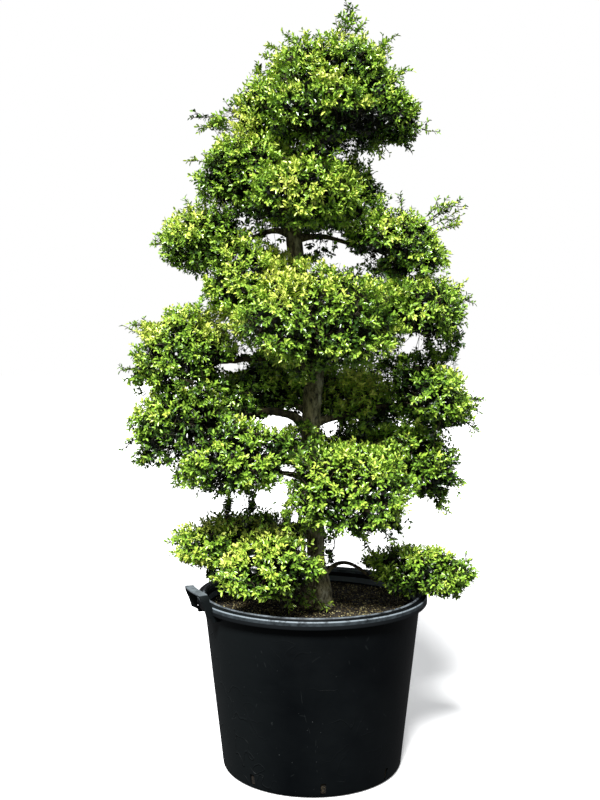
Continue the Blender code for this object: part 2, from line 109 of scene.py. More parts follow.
def mixed(tree, factor, one, two):
    return nodeOf(tree, "ShaderNodeMix", data_type="RGBA", Factor=factor, A=one, B=two).outputs["Result"]


def newMaterial(name, colour, roughness, **inputs):
    made = bpy.data.materials.new(name)
    made.use_nodes = True
    shader = made.node_tree.nodes["Principled BSDF"]
    for key, value in dict(Base_Color=colour, Roughness=roughness, **inputs).items():
        give(made.node_tree, value, shader.inputs[key.replace("_", " ")])
    return made, made.node_tree, shader


def setWorld():
    # a sky brighter above than below lights the plant; behind it the studio is white
    world = bpy.data.worlds.new("studio")
    world.use_nodes = True
    scene.world = world
    tree = world.node_tree
    sky = tree.nodes["Background"]
    around = nodeOf(tree, "ShaderNodeTexCoord").outputs["Generated"]
    height = nodeOf(tree, "ShaderNodeSeparateXYZ", Vector=around).outputs["Z"]
    give(tree, ramped(tree, height, -1, 1, light["skyLow"], light["skyTop"]), sky.inputs["Strength"])
    give(tree, light["skyTint"], sky.inputs["Color"])
    white = nodeOf(tree, "ShaderNodeBackground", Color=(1, 1, 1))
    seen = nodeOf(tree, "ShaderNodeLightPath").outputs["Is Camera Ray"]
    mix = nodeOf(tree, "ShaderNodeMixShader", Fac=seen)
    give(tree, sky.outputs[0], mix.inputs[1])
    give(tree, white.outputs[0], mix.inputs[2])
    give(tree, mix.outputs[0], tree.nodes["World Output"].inputs["Surface"])


cameraData = bpy.data.cameras.new("camera")
cameraData.lens = view["lens"]
cameraData.sensor_width = view["sensor"]
camera = linked("camera", cameraData)
camera.location = view["place"]
camera.rotation_euler = (math.radians(90 - view["pitch"]), 0, 0)
scene.camera = camera
scene.view_settings.view_transform = "Standard"

setWorld()
sunData = bpy.data.lights.new("sun", "SUN")
sunData.energy = light["sun"]
sunData.angle = math.radians(light["sunSpread"])
turn, rise = math.radians(light["sunTurn"]), math.radians(light["sunHeight"])
sunWay = Vector((math.cos(turn) * math.cos(rise), math.sin(turn) * math.cos(rise), math.sin(rise)))
linked("sun", sunData).rotation_euler = sunWay.to_track_quat("Z", "Y").to_euler()

bm = bmesh.new()
bmesh.ops.create_circle(bm, cap_ends=True, segments=96, radius=light["floorRadius"])
floor = linked("floor", meshFrom(bm, "floor"))
floor.location.z = -light["floorDrop"]
floor.visible_diffuse = floor.visible_glossy = False
floorPaint, _, _ = newMaterial("floor", light["floorTint"], 0.9, Emission_Color=(1, 1, 1),
                               Emission_Strength=light["floorGlow"])
floor.data.materials.append(floorPaint)
print("camera, light and floor are set")


# Materials

def objectPlace(tree):
    return nodeOf(tree, "ShaderNodeTexCoord").outputs["Object"]


def relief(tree, shader, height, strength, distance):
    bump = nodeOf(tree, "ShaderNodeBump", Strength=strength, Distance=distance, Height=height)
    give(tree, bump.outputs["Normal"], shader.inputs["Normal"])


def speckleGroup():
    # pale specks over a colour, such as dust or lime, where a soft cloud of noise lets them through
    group = bpy.data.node_groups.new("speckle", "ShaderNodeTree")
    for name, way, kind in (("Colour", "INPUT", "Color"), ("Speck", "INPUT", "Color"),
                            ("Size", "INPUT", "Float"), ("Amount", "INPUT", "Float"),
                            ("Colour", "OUTPUT", "Color")):
        group.interface.new_socket(name, in_out=way, socket_type="NodeSocket" + kind)
    given = nodeOf(group, "NodeGroupInput").outputs
    place = objectPlace(group)
    fine = noiseOf(group, place, Detail=3.0, Roughness=0.7, Scale=given["Size"])
    cloud = noiseOf(group, place, Scale=7.0, Detail=2.0)
    total = sums(group, "ADD", sums(group, "ADD", fine, cloud), given["Amount"])
    colour = mixed(group, ramped(group, total, 1.22, 1.36), given["Colour"], given["Speck"])
    nodeOf(group, "NodeGroupOutput", Colour=colour)
    return group


speckle = speckleGroup()


def speckled(tree, colour, speck, size, amount):
    return nodeOf(tree, "ShaderNodeGroup", node_tree=speckle, Colour=colour, Speck=speck, Size=size,
                  Amount=amount).outputs["Colour"]


potLook = dict(wall=linear(3, 5, 7), fadedAndLit=linear(20, 24, 25), inside=linear(112, 122, 128),
               lipLow=linear(20, 23, 25), lip=linear(60, 67, 71), lipHighlightLine=linear(128, 138, 144),
               lipTop=linear(112, 120, 125), speck=linear(84, 88, 88), scratch=linear(58, 62, 62),
               roughness=0.46, specular=0.12, lipInner=0.3256, mouth=0.3029, soilLine=0.4455, gripTop=0.5206)
# the lip is lighter in rings, worn plastic below and painted highlight in a bright line and on the top: from,
# to, tint, and the noise level at which the tint starts and is full
lipRings = ((0.4620, 0.4730, "lipLow", 0.0, 0.30), (0.4735, 0.4810, "lip", 0.30, 0.62),
            (0.4818, 0.4842, "lipHighlightLine", 0.34, 0.50), (0.4876, 0.4990, "lipTop", 0.34, 0.60))


def potMaterial():
    made, tree, shader = newMaterial("mouldedPlastic", potLook["wall"], potLook["roughness"],
                                     Specular_IOR_Level=potLook["specular"])
    place = objectPlace(tree)
    x, _, height = nodeOf(tree, "ShaderNodeSeparateXYZ", Vector=place).outputs

    def offMiddle(value):
        return sums(tree, "ABSOLUTE", sums(tree, "SUBTRACT", value, 0.5))

    patches = noiseOf(tree, place, Scale=4.5, Detail=4.0, Roughness=0.6)
    colour = mixed(tree, ramped(tree, patches, 0.35, 0.85, 0.0, 0.5), potLook["wall"], potLook["fadedAndLit"])
    # painted highlight: the pot's left side is lighter, as if lit from the left; the cloudy patches above are
    # faded plastic
    colour = mixed(tree, ramped(tree, x, -0.06, -0.29), colour, potLook["fadedAndLit"])
    # scratches and scuffs: short pieces of thin wandering lines, then single specks
    for scale, where, least in ((5.5, 8.0, 0.64), (3.5, 10.0, 0.66)):
        away = offMiddle(noiseOf(tree, place, Scale=scale, Detail=0.0, Distortion=0.3))
        cloud = noiseOf(tree, place, Scale=where, Detail=0.0, Distortion=scale)
        patch = ramped(tree, cloud, least, least + 0.08, 0.0, 0.26)
        thin = times(tree, ramped(tree, away, 0.0006 * scale, 0.0), patch)
        colour = mixed(tree, thin, colour, potLook["scratch"])
    specks = ramped(tree, noiseOf(tree, place, Scale=230.0, Detail=0.0), 0.87, 0.90, 0.0, 0.5)
    colour = mixed(tree, specks, colour, potLook["speck"])
    flat = nodeOf(tree, "ShaderNodeVectorMath", operation="MULTIPLY")
    give(tree, place, flat.inputs[0])
    flat.inputs[1].default_value = (1, 1, 0)
    length = nodeOf(tree, "ShaderNodeVectorMath", operation="LENGTH", Vector=flat.outputs[0])
    across = length.outputs["Value"]
    onLip = ramped(tree, across, potLook["lipInner"] + 0.0006, potLook["lipInner"])
    # painted light: the inner wall above the soil is much lighter than the outer wall, standing in for the
    # light inside the mouth
    inside = times(tree, ramped(tree, across, potLook["mouth"], potLook["mouth"] - 0.0006),
                   ramped(tree, height, potLook["soilLine"], potLook["soilLine"] + 0.0015))
    colour = mixed(tree, inside, colour, potLook["inside"])
    wear = noiseOf(tree, place, Scale=38.0, Detail=5.0, Roughness=0.7)
    # painted highlight: the bright line ring and the top ring are light on the lip's upper edge; the two
    # lower rings are worn plastic
    for low, high, tint, least, most in lipRings:
        band = times(tree, ramped(tree, height, low - 0.0006, low), ramped(tree, height, high + 0.0006, high))
        band = times(tree, band, times(tree, onLip, ramped(tree, wear, least, most)))
        colour = mixed(tree, band, colour, potLook[tint])
    # painted highlight: the top of each grip is lighter where light falls from above, patchy with the same
    # noise
    grip = times(tree, ramped(tree, height, potLook["gripTop"] - 0.0018, potLook["gripTop"]),
                 ramped(tree, wear, 0.25, 0.55))
    give(tree, mixed(tree, grip, colour, potLook["lipTop"]), shader.inputs["Base Color"])
    give(tree, ramped(tree, patches, 0.0, 1.0, 0.36, 0.62), shader.inputs["Roughness"])
    # wandering raised lines left by the mould, low on one side and here and there, and a fine grain
    line = ramped(tree, offMiddle(noiseOf(tree, place, Scale=13.0, Detail=1.5, Distortion=0.6)), 0.016, 0.0)
    where = ramped(tree, sums(tree, "ADD", times(tree, x, -2.2), times(tree, height, -0.9)), 0.10, 0.35)
    spread = ramped(tree, noiseOf(tree, place, Scale=5.0, Detail=1.0), 0.56, 0.72, 0.0, 0.35)
    ridge = times(tree, line, sums(tree, "MAXIMUM", where, spread))
    grain = times(tree, noiseOf(tree, place, Scale=420.0, Detail=2.0), 0.10)
    soft = times(tree, noiseOf(tree, place, Scale=9.0, Detail=2.0, Distortion=1.2), 0.8)
    relief(tree, shader, sums(tree, "ADD", sums(tree, "ADD", ridge, grain), soft), 0.9, 0.0022)
    return made


barkLook = dict(dark=linear(66, 60, 30), light=linear(150, 144, 104), lichenAndLitSide=linear(206, 204, 178),
                crack=linear(20, 17, 9), boughShadeDark=linear(38, 33, 20), boughShadeLight=linear(92, 83, 56),
                twig=linear(62, 55, 34), squash=(1.0, 1.0, 0.45))


def barkMaterial():
    made, tree, shader = newMaterial("bark", barkLook["dark"], 0.85)
    squash = nodeOf(tree, "ShaderNodeMapping", Vector=objectPlace(tree), Scale=barkLook["squash"])
    place = squash.outputs["Vector"]
    streak = noiseOf(tree, place, Scale=80.0, Detail=5.0, Roughness=0.7)
    spread = ramped(tree, streak, 0.42, 0.62)
    colour = mixed(tree, spread, barkLook["dark"], barkLook["light"])
    # the mesh keeps a painted highlight on the trunk's side facing +x, above 0, and a painted shade on the
    # boughs, below 0
    side = nodeOf(tree, "ShaderNodeAttribute", attribute_name="weathered").outputs["Fac"]
    # painted highlight: the trunk's lit side is mottled towards the pale lichen tint
    mottle = times(tree, side, ramped(tree, streak, 0.42, 0.60, 0.15, 1.0))
    colour = mixed(tree, mottle, colour, barkLook["lichenAndLitSide"])
    # painted shade: the boughs take darker copies of the bark colours
    shaded = mixed(tree, spread, barkLook["boughShadeDark"], barkLook["boughShadeLight"])
    colour = mixed(tree, times(tree, side, -1.0), colour, shaded)
    cracks = ramped(tree, noiseOf(tree, place, Scale=46.0, Detail=3.0, Roughness=0.6), 0.57, 0.63, 0.0, 0.85)
    colour = mixed(tree, cracks, colour, barkLook["crack"])
    give(tree, speckled(tree, colour, barkLook["lichenAndLitSide"], 150.0, 0.02), shader.inputs["Base Color"])
    relief(tree, shader, noiseOf(tree, place, Scale=260.0, Detail=4.0), 0.6, 0.0015)
    return made


compostLook = dict(dark=linear(20, 16, 10), brown=linear(56, 45, 28))
chipTints = dict(straw=linear(184, 174, 124), tan=linear(98, 86, 52), umber=linear(46, 38, 21))


def compostMaterial():
    made, tree, shader = newMaterial("compost", compostLook["dark"], 0.95)
    crumbs = noiseOf(tree, objectPlace(tree), Scale=120.0, Detail=6.0, Roughness=0.75)
    colour = mixed(tree, ramped(tree, crumbs, 0.45, 0.72), compostLook["dark"], compostLook["brown"])
    give(tree, speckled(tree, colour, chipTints["tan"], 330.0, 0.05), shader.inputs["Base Color"])
    relief(tree, shader, crumbs, 1.0, 0.004)
    return made


def tintedGrain(name, colour, roughness, coat=0.0):
    # a plain base colour with a little relief
    made, tree, shader = newMaterial(name, colour, roughness, Coat_Weight=coat, Coat_Roughness=0.18,
                                     Coat_Tint=(0.90, 0.97, 1.0))
    relief(tree, shader, noiseOf(tree, objectPlace(tree), Scale=500.0, Detail=2.0), 0.3, 0.0005)
    return made


plasticPaint = potMaterial()
barkPaint = barkMaterial()
compostPaint = compostMaterial()
twigPaint = tintedGrain("twigs", barkLook["twig"], 0.8)
print("materials are made")


# Helpers for pieces

def pieceFrom(bm, name, paint, slot, *nodes):
    for face in bm.faces:
        face.smooth = True
    return dressed(meshFrom(bm, name), name, paint, slot, *nodes)


def dressed(mesh, name, paint, slot, *nodes):
    mesh.materials.append(paint)
    piece = linked(name, mesh)
    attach(piece, "root")
    if nodes:
        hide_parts(*nodes)
    return piece


def bakeModifiers(piece):
    graph = bpy.context.evaluated_depsgraph_get()
    mesh = bpy.data.meshes.new_from_object(piece.evaluated_get(graph))
    piece.modifiers.clear()
    piece.data = mesh


def softened(bm, edges, offset, clamp=False):
    bmesh.ops.bevel(bm, geom=edges, offset=offset, segments=3, affect="EDGES", profile=0.5, material=-1,
                    clamp_overlap=clamp)


def turned(profile, steps):
    # a closed shape turned from a profile whose ends lie on the axis
    bm = bmesh.new()
    verts = [bm.verts.new((radius, 0, height)) for radius, height in profile]
    for a, b in zip(verts, verts[1:]):
        bm.edges.new((a, b))
    bmesh.ops.spin(bm, geom=bm.verts[:] + bm.edges[:], cent=(0, 0, 0), axis=(0, 0, 1),
                   angle=math.tau, steps=steps, use_merge=True)
    bmesh.ops.remove_doubles(bm, verts=bm.verts, dist=1e-5)
    bmesh.ops.recalc_face_normals(bm, faces=bm.faces)
    return bm


# Container
pot = dict(height=0.490, baseRadius=0.252, neckRadius=0.308, wall=0.005, lipRadius=0.325,
           lipBottom=0.4615, steps=176, slots=8, slotWidth=0.015, slotTop=0.041, slotBottom=0.008,
           firstSlot=-84.0, soilLevel=0.445)


def wallRadius(z):
    return pot["baseRadius"] + (pot["neckRadius"] - pot["baseRadius"]) * z / pot["height"]


def innerRadius(z):
    return wallRadius(z) - pot["wall"]


def arc(centre, radius, start, end, steps):
    for i in range(steps + 1):
        angle = math.radians(start + (end - start) * i / steps)
        yield centre[0] + radius * math.cos(angle), centre[1] + radius * math.sin(angle)


def buildPot():
    top, lip, under = pot["height"], pot["lipRadius"], pot["lipBottom"]
    profile = [(0, 0), (pot["baseRadius"] - 0.010, 0)]
    profile += list(arc((pot["baseRadius"] - 0.009, 0.010), 0.010, -90, -8, 7))
    profile += [(wallRadius(z), z) for z in np.linspace(0.020, under - 0.004, 24)]
    profile += [(wallRadius(under) + 0.0006, under - 0.0012), (wallRadius(under) + 0.003, under)]
    profile += list(arc((lip - 0.004, under + 0.004), 0.004, -90, 0, 5))
    profile += [(lip, 0.4735)]
    profile += list(arc((lip - 0.0075, 0.4790), 0.0075, 0, 105, 9))
    profile += [(lip - 0.0125, 0.4850), (lip - 0.0145, 0.4853), (lip - 0.0160, 0.4872)]
    profile += list(arc((lip - 0.0195, top - 0.0032), 0.0032, 30, 165, 6))
    profile += [(innerRadius(0.482), 0.482)]
    profile += [(innerRadius(z), z) for z in np.linspace(0.47, 0.012, 10)]
    profile += [(innerRadius(0.010) - 0.004, pot["wall"]), (0, pot["wall"])]
    piece = pieceFrom(turned(profile, pot["steps"]), "container", plasticPaint, "pot", "pot")
    # drain slots with rounded ends
    bm = bmesh.new()
    for number in range(pot["slots"]):
        angle = math.radians(pot["firstSlot"]) + math.tau * number / pot["slots"]
        middle = (pot["slotTop"] + pot["slotBottom"]) / 2
        place = Matrix.Rotation(angle, 4, "Z") @ Matrix.Translation((pot["baseRadius"], 0, middle))
        size = Matrix.Diagonal((0.03, pot["slotWidth"], pot["slotTop"] - pot["slotBottom"], 1))
        cube = bmesh.ops.create_cube(bm, size=1.0, matrix=place @ size)
        lengthwise = [e for e in {e for v in cube["verts"] for e in v.link_edges}
                      if abs((e.verts[0].co - e.verts[1].co).normalized().z) < 0.1
                      and (e.verts[0].co - e.verts[1].co).length > 0.025]
        softened(bm, lengthwise, 0.004)
    cutter = linked("slots", meshFrom(bm, "slots"))
    cut = piece.modifiers.new("slots", "BOOLEAN")
    cut.operation = "DIFFERENCE"
    cut.solver = "EXACT"
    cut.object = cutter
    bakeModifiers(piece)
    bpy.data.objects.remove(cutter)
    piece.data.set_sharp_from_angle(angle=math.radians(38))


buildPot()

handles = dict(span=0.132, top=0.520, thick=0.005, corner=0.014, middle=0.344, inside=0.3350, outside=0.3590,
               bend=0.0032, topInside=0.3385, topOutside=0.3625,
               turns={"handle_left": 204.0, "handle_right": 24.0})


def buildHandle(node, degrees):
    # a strap bent into a U whose feet hook in under the lip
    half, top, corner = handles["span"] / 2, handles["top"], handles["corner"]
    under, lip = pot["lipBottom"], pot["lipRadius"]
    leg = [(0.4445, None, 0.3240), (0.4530, None, 0.3262), (under - 0.0006, None, 0.3415),
           (under - 0.0003, lip + 0.0003, 0.3425), (0.4730, lip + 0.0008, 0.3460),
           (0.4850, lip + 0.0015, 0.3500), (0.4960, 0.3308, 0.3548),
           (top - corner, handles["inside"], handles["outside"])]
    rings = [(-half, z, 1.0, 0.0, inside, outside) for z, inside, outside in leg]
    for step in range(1, 8):
        turn = math.pi / 2 * step / 7
        shift = handles["bend"] * (step / 7)
        rings.append((-half + corner * (1 - math.cos(turn)), top - corner * (1 - math.sin(turn)),
                      math.cos(turn), -math.sin(turn), handles["inside"] + shift, handles["outside"] + shift))
    for share in (-0.66, -0.33, 0.0):
        rings.append((share * (half - corner), top + 0.001 * (1 - abs(share)), 0.0, -1.0,
                      handles["topInside"], handles["topOutside"]))
    rings += [(-s, z, -ns, nz, a, b) for s, z, ns, nz, a, b in reversed(rings[:-1])]
    bm = bmesh.new()
    loops = []
    for s, z, ns, nz, inside, outside in rings:
        loop = []
        for side, outer in ((-1, 0), (1, 0), (1, 1), (-1, 1)):
            along = s + side * ns * handles["thick"] / 2
            height = z + side * nz * handles["thick"] / 2
            angle = math.radians(degrees) + along / handles["middle"]
            radius = outside if outer else inside if inside else wallRadius(height) + 0.0004
            loop.append(bm.verts.new((radius * math.cos(angle), radius * math.sin(angle), height)))
        loops.append(loop)
    for one, two in zip(loops, loops[1:]):
        for i in range(4):
            bm.faces.new((one[i], one[(i + 1) % 4], two[(i + 1) % 4], two[i]))
    bm.faces.new(loops[0])
    bm.faces.new(loops[-1])
    bmesh.ops.recalc_face_normals(bm, faces=bm.faces)
    sharp = [e for e in bm.edges if e.is_manifold and e.calc_face_angle(0) > 0.9]
    softened(bm, sharp, 0.0011, clamp=True)
    piece = pieceFrom(bm, node + "_strap", plasticPaint, "pot", node)
    piece.data.set_sharp_from_angle(angle=math.radians(40))


for node, degrees in handles["turns"].items():
    buildHandle(node, degrees)
print("the container and its handles are built")


# Trunk and boughs, along the same lines as the solids
# the trunk's height, place across, place in depth and radius
trunkPath = (
    (0.4453, 0.012, -0.026, 0.046), (0.46, 0.012, -0.026, 0.04), (0.485, 0.015, -0.025, 0.0375),
    (0.508, 0.017, -0.024, 0.035), (0.535, 0.016, -0.022, 0.029), (0.575, 0.01, -0.02, 0.0248),
    (0.65, 0.01, -0.02, 0.0245), (0.78, 0.006, -0.02, 0.0252), (0.9, -0.004, -0.02, 0.0254),
    (0.96, -0.004, -0.02, 0.0258), (1.03, 0.001, -0.02, 0.0264), (1.1, 0.008, -0.02, 0.0262),
    (1.28, -0.017, -0.02, 0.0248), (1.42, -0.044, -0.02, 0.023), (1.5, -0.054, -0.02, 0.022),
    (1.57, -0.05, -0.016, 0.0188), (1.64, -0.032, -0.01, 0.0165), (1.72, 0, -0.004, 0.014),
    (1.805, 0.04, 0, 0.011)
)
# at, size, dip and leaves are near the solids' own: centre, half extents, how far the outer side hangs,
# and the height at which the bough leaves the trunk. fresh is the share of new growth, direct a short
# stem with no bough solid, bare the first of a bough's points with sprays, and wild the tips of long shoots
masses = {
    "crown_top": dict(at=(0.055, 0, 1.927), size=(0.192, 0.165, 0.108), dip=0, leaves=None, fresh=0.6,
        wild=((0.102, 0, 2.136), (0.112, 0.01, 2.12), (0.09, -0.01, 2.11), (0.124, 0, 2.102),
        (0.106, -0.03, 2.094), (0.076, 0.01, 2.084), (0.138, -0.02, 2.076), (0.096, 0.02, 2.078),
        (0.156, 0.012, 2.06), (-0.085, 0, 2.058), (-0.116, 0.02, 2.026), (0.236, 0, 2.05),
        (0.04, 0.1, 2.06), (0.15, 0.11, 2.03), (-0.145, 0.01, 2), (0.28, 0, 1.952))),
    "crown_right": dict(at=(0.202, -0.035, 1.814), size=(0.103, 0.135, 0.088), dip=26, leaves=1.765,
        fresh=0.35, wild=((0.322, -0.03, 1.768), (0.19, -0.06, 1.706), (0.17, -0.08, 1.712),
        (0.262, -0.05, 1.716))),
    "crown_left": dict(at=(-0.104, 0.01, 1.826), size=(0.132, 0.135, 0.108), dip=26, leaves=1.735,
        fresh=0.55, wild=((-0.338, -0.01, 1.812), (-0.322, 0, 1.788), (-0.282, 0, 1.8),
        (-0.248, 0.02, 1.85))),
    "crown_front": dict(at=(0.025, -0.15, 1.795), size=(0.15, 0.11, 0.092), dip=22, leaves=1.715, fresh=0.5,
        direct=True),
    "crown_back": dict(at=(0.085, 0.185, 1.87), size=(0.185, 0.155, 0.13), dip=20, leaves=1.7, fresh=0.35,
        wild=((0.12, 0.35, 1.9), (0, 0.3, 1.99), (0.22, 0.28, 1.96))),
    "shoulder_left": dict(at=(-0.186, -0.03, 1.657), size=(0.14, 0.15, 0.116), dip=14, leaves=1.58,
        fresh=0.65, wild=((-0.334, 0, 1.708), (-0.338, -0.02, 1.66))),
    "shoulder_front": dict(at=(-0.025, -0.175, 1.575), size=(0.15, 0.125, 0.105), dip=20, leaves=1.54,
        fresh=0.75, direct=True),
    "shoulder_right": dict(at=(0.098, 0.02, 1.606), size=(0.098, 0.13, 0.104), dip=26, leaves=1.56,
        fresh=0.4),
    "shoulder_back": dict(at=(-0.03, 0.215, 1.635), size=(0.2, 0.16, 0.15), dip=16, leaves=1.545,
        fresh=0.35, wild=((-0.1, 0.385, 1.66), (-0.25, 0.26, 1.7), (0.06, 0.37, 1.64))),
    "arm_right": dict(at=(0.231, 0, 1.459), size=(0.149, 0.155, 0.108), dip=19, leaves=1.47, fresh=0.45,
        lift=0.2, wild=((0.412, 0, 1.594), (0.396, -0.01, 1.59), (0.372, 0.01, 1.586), (0.352, 0, 1.58),
        (0.404, 0, 1.564), (0.25, -0.02, 1.59), (0.41, 0.01, 1.548), (0.408, -0.02, 1.53))),
    "arm_left": dict(at=(-0.303, 0, 1.47), size=(0.129, 0.14, 0.1), dip=16, leaves=1.48, fresh=0.45,
        lift=0.25, wild=((-0.436, 0, 1.5), (-0.44, -0.01, 1.462))),
    "brow_left": dict(at=(-0.16, -0.06, 1.338), size=(0.156, 0.155, 0.136), dip=14, leaves=1.25,
        fresh=0.65),
    "apron": dict(at=(0.012, -0.21, 1.235), size=(0.225, 0.16, 0.15), dip=16, leaves=1.15, fresh=0.6,
        girth=0.011),
    "wing_left": dict(at=(-0.347, 0, 1.153), size=(0.151, 0.17, 0.137), dip=16, leaves=1.11, fresh=0.5,
        girth=0.011, lift=0.2, wild=((-0.512, 0, 1.236), (-0.528, -0.02, 1.11), (-0.49, 0.01, 1.254),
        (-0.516, 0, 1.08))),
    "wing_right": dict(at=(0.294, -0.03, 1.276), size=(0.126, 0.155, 0.119), dip=14, leaves=1.215,
        fresh=0.4, wild=((0.44, -0.03, 1.322), (0.41, -0.04, 1.36))),
    "wing_back": dict(at=(0.07, 0.268, 1.262), size=(0.23, 0.182, 0.155), dip=16, leaves=1.18, fresh=0.3,
        girth=0.01, wild=((0.1, 0.446, 1.29), (-0.05, 0.43, 1.33), (0.24, 0.4, 1.3))),
    "skirt_left": dict(at=(-0.369, -0.02, 0.966), size=(0.156, 0.15, 0.122), dip=14, leaves=0.935,
        fresh=0.25, bare=17, girth=0.013, lift=0.42, wild=((-0.52, -0.02, 0.905), (-0.5, -0.03, 0.872),
        (-0.478, -0.01, 0.85), (-0.522, 0, 0.96))),
    "skirt_inner": dict(at=(-0.158, 0.1, 1.048), size=(0.142, 0.125, 0.1), dip=6, leaves=0.99, fresh=0.15),
    "skirt_right": dict(at=(0.328, 0.01, 1.033), size=(0.142, 0.16, 0.109), dip=26, leaves=0.96, fresh=0.25,
        girth=0.01, wild=((0.468, 0, 0.998), (0.47, 0.01, 1.04), (0.455, -0.02, 0.95))),
    "skirt_mid": dict(at=(0.135, 0.13, 1.02), size=(0.145, 0.125, 0.105), dip=8, leaves=0.955, fresh=0.15,
        direct=True, bare=None),
    "skirt_back": dict(at=(-0.09, 0.29, 1.075), size=(0.185, 0.15, 0.1), dip=12, leaves=1.01, fresh=0.25),
    "hem_left": dict(at=(-0.199, -0.13, 0.872), size=(0.18, 0.15, 0.113), dip=8, leaves=0.8, fresh=0.35,
        girth=0.01, wild=((-0.245, -0.1, 0.706), (-0.18, -0.11, 0.7), (-0.136, -0.12, 0.712),
        (-0.35, -0.13, 0.8))),
    "hem_front": dict(at=(0.088, -0.18, 0.796), size=(0.182, 0.145, 0.146), dip=14, leaves=0.725,
        fresh=0.45, girth=0.01, wild=((0.058, -0.06, 0.64), (0.052, -0.05, 0.592), (0.15, -0.19, 0.64),
        (0.215, -0.18, 0.66), (0.24, -0.15, 0.69))),
    "hem_right": dict(at=(0.292, 0.03, 0.844), size=(0.147, 0.145, 0.107), dip=26, leaves=0.765, fresh=0.3,
        wild=((0.372, 0, 0.705), (0.362, 0.01, 0.722), (0.424, 0.02, 0.795), (0.412, 0, 0.782))),
    "hem_back": dict(at=(0.085, 0.25, 0.832), size=(0.22, 0.172, 0.132), dip=12, leaves=0.715, fresh=0.25,
        wild=((0.14, 0.42, 0.8), (0, 0.4, 0.86))),
    "low_left": dict(at=(-0.231, 0, 0.62), size=(0.169, 0.14, 0.088), dip=4, leaves=0.56, fresh=0.4,
        wild=((-0.2, 0, 0.722), (-0.26, -0.01, 0.715), (-0.4, 0, 0.64), (-0.15, 0, 0.716))),
    "low_front": dict(at=(-0.122, -0.165, 0.588), size=(0.146, 0.12, 0.098), dip=6, leaves=0.54, fresh=0.55,
        girth=0.01, wild=((-0.012, -0.11, 0.47), (0.04, -0.105, 0.462), (-0.06, -0.15, 0.48),
        (-0.25, -0.16, 0.56))),
    "low_right": dict(at=(0.307, -0.05, 0.551), size=(0.169, 0.115, 0.077), dip=5, leaves=0.5, fresh=0.3,
        bare=None, girth=0.0065, lift=0.69, wild=((0.452, -0.05, 0.545), (0.44, -0.04, 0.59))),
    "low_back": dict(at=(-0.11, 0.205, 0.602), size=(0.155, 0.13, 0.085), dip=6, leaves=0.55, fresh=0.35),
}
limbs = dict(girth=0.009, lift=0.12, taper=0.40, tipShare=0.96, underShare=0.86, lobes=7, points=31,
             direct=(0.0072, 0.0058), reach=0.30, barkSwell=0.05, barkKnots=0.35, barkGrain=0.0007,
             rootFlare=0.20, rootHeight=0.11, collar=0.45, collarLength=0.020, wander=0.006,
             wanderSeed=3)


def trunkPoint(z):
    rows = np.array(trunkPath)
    x, y, radius = (float(np.interp(z, rows[:, 0], rows[:, i])) for i in (1, 2, 3))
    return np.array((x, y, z)), radius


def unitRows(rows):
    return rows / np.linalg.norm(rows, axis=-1, keepdims=True)


class LeafSpace:
    # the space that one mass keeps to: an ellipsoid with rounded lumps, tipped down at its outer side

    def __init__(self, name, plan):
        self.name, self.plan = name, plan
        self.centre, self.size = np.array(plan["at"]), np.array(plan["size"])
        self.mean = self.size.mean()
        start, _ = trunkPoint(plan["leaves"] or plan["at"][2])
        out = Vector((self.centre[0] - start[0], self.centre[1] - start[1], 0)).normalized()
        hinge = Vector((0, 0, 1)).cross(out)
        self.turn = np.array(Matrix.Rotation(math.radians(plan["dip"]), 3, hinge))
        chance = random.Random(name)
        lobes = [[chance.gauss(0, 1) for _ in range(3)] for _ in range(limbs["lobes"])]
        self.lobes = unitRows(np.array(lobes))

    def lump(self, ways):
        return 0.95 + 0.16 * (np.clip(ways @ self.lobes.T, 0, None) ** 6).max(-1)

    def stretch(self, local):
        size = np.broadcast_to(self.size, local.shape).copy()
        size[..., 2] = np.where(local[..., 2] < 0, size[..., 2] * limbs["underShare"], size[..., 2])
        return size

    def point(self, ways, shares):
        reach = ways * self.stretch(ways) * (self.lump(ways) * shares)[..., None]
        return self.centre + reach @ self.turn.T

    def outward(self, ways):
        return unitRows((ways / self.stretch(ways)) @ self.turn.T)

    def depth(self, places):
        local = (places - self.centre) @ self.turn
        scaled = local / self.stretch(local)
        length = np.linalg.norm(scaled, axis=-1) + 1e-9
        return length / self.lump(scaled / length[..., None])


spaces = [LeafSpace(name, plan) for name, plan in masses.items()]


def ownMargin(space, places):
    # how far inside its own space a place is, against every other mass, in metres
    mine = space.depth(places)
    others = [(other.depth(places) - mine) * (other.mean + space.mean) / 2
              for other in spaces if other is not space]
    return np.min(others, axis=0)


def bezierLine(a, b, c, d):
    t = np.linspace(0, 1, limbs["points"])[:, None]
    s = 1 - t
    return a * s**3 + b * 3 * s * s * t + c * 3 * s * t * t + d * t**3


def boughLine(space):
    plan = space.plan
    start, _ = trunkPoint(plan["leaves"])
    inward = (start - space.centre) / np.linalg.norm(start - space.centre)
    local = inward @ space.turn
    way = local / space.stretch(local)
    way /= np.linalg.norm(way)
    tip = space.point(way[None], np.array([limbs["tipShare"]]))[0]
    run = np.linalg.norm(tip - start)
    out = np.array((tip[0] - start[0], tip[1] - start[1], 0))
    out /= np.linalg.norm(out)
    up = np.array((0, 0, plan.get("lift", limbs["lift"]) * run))
    entry = (space.centre - tip) / np.linalg.norm(space.centre - tip)
    line = bezierLine(start, start + out * run * limbs["reach"] + up,
                      tip - entry * run * limbs["reach"] + up * 0.5, tip)
    first = plan.get("girth", limbs["girth"])
    return line, first * (1 - limbs["taper"] * np.linspace(0, 1, limbs["points"]))


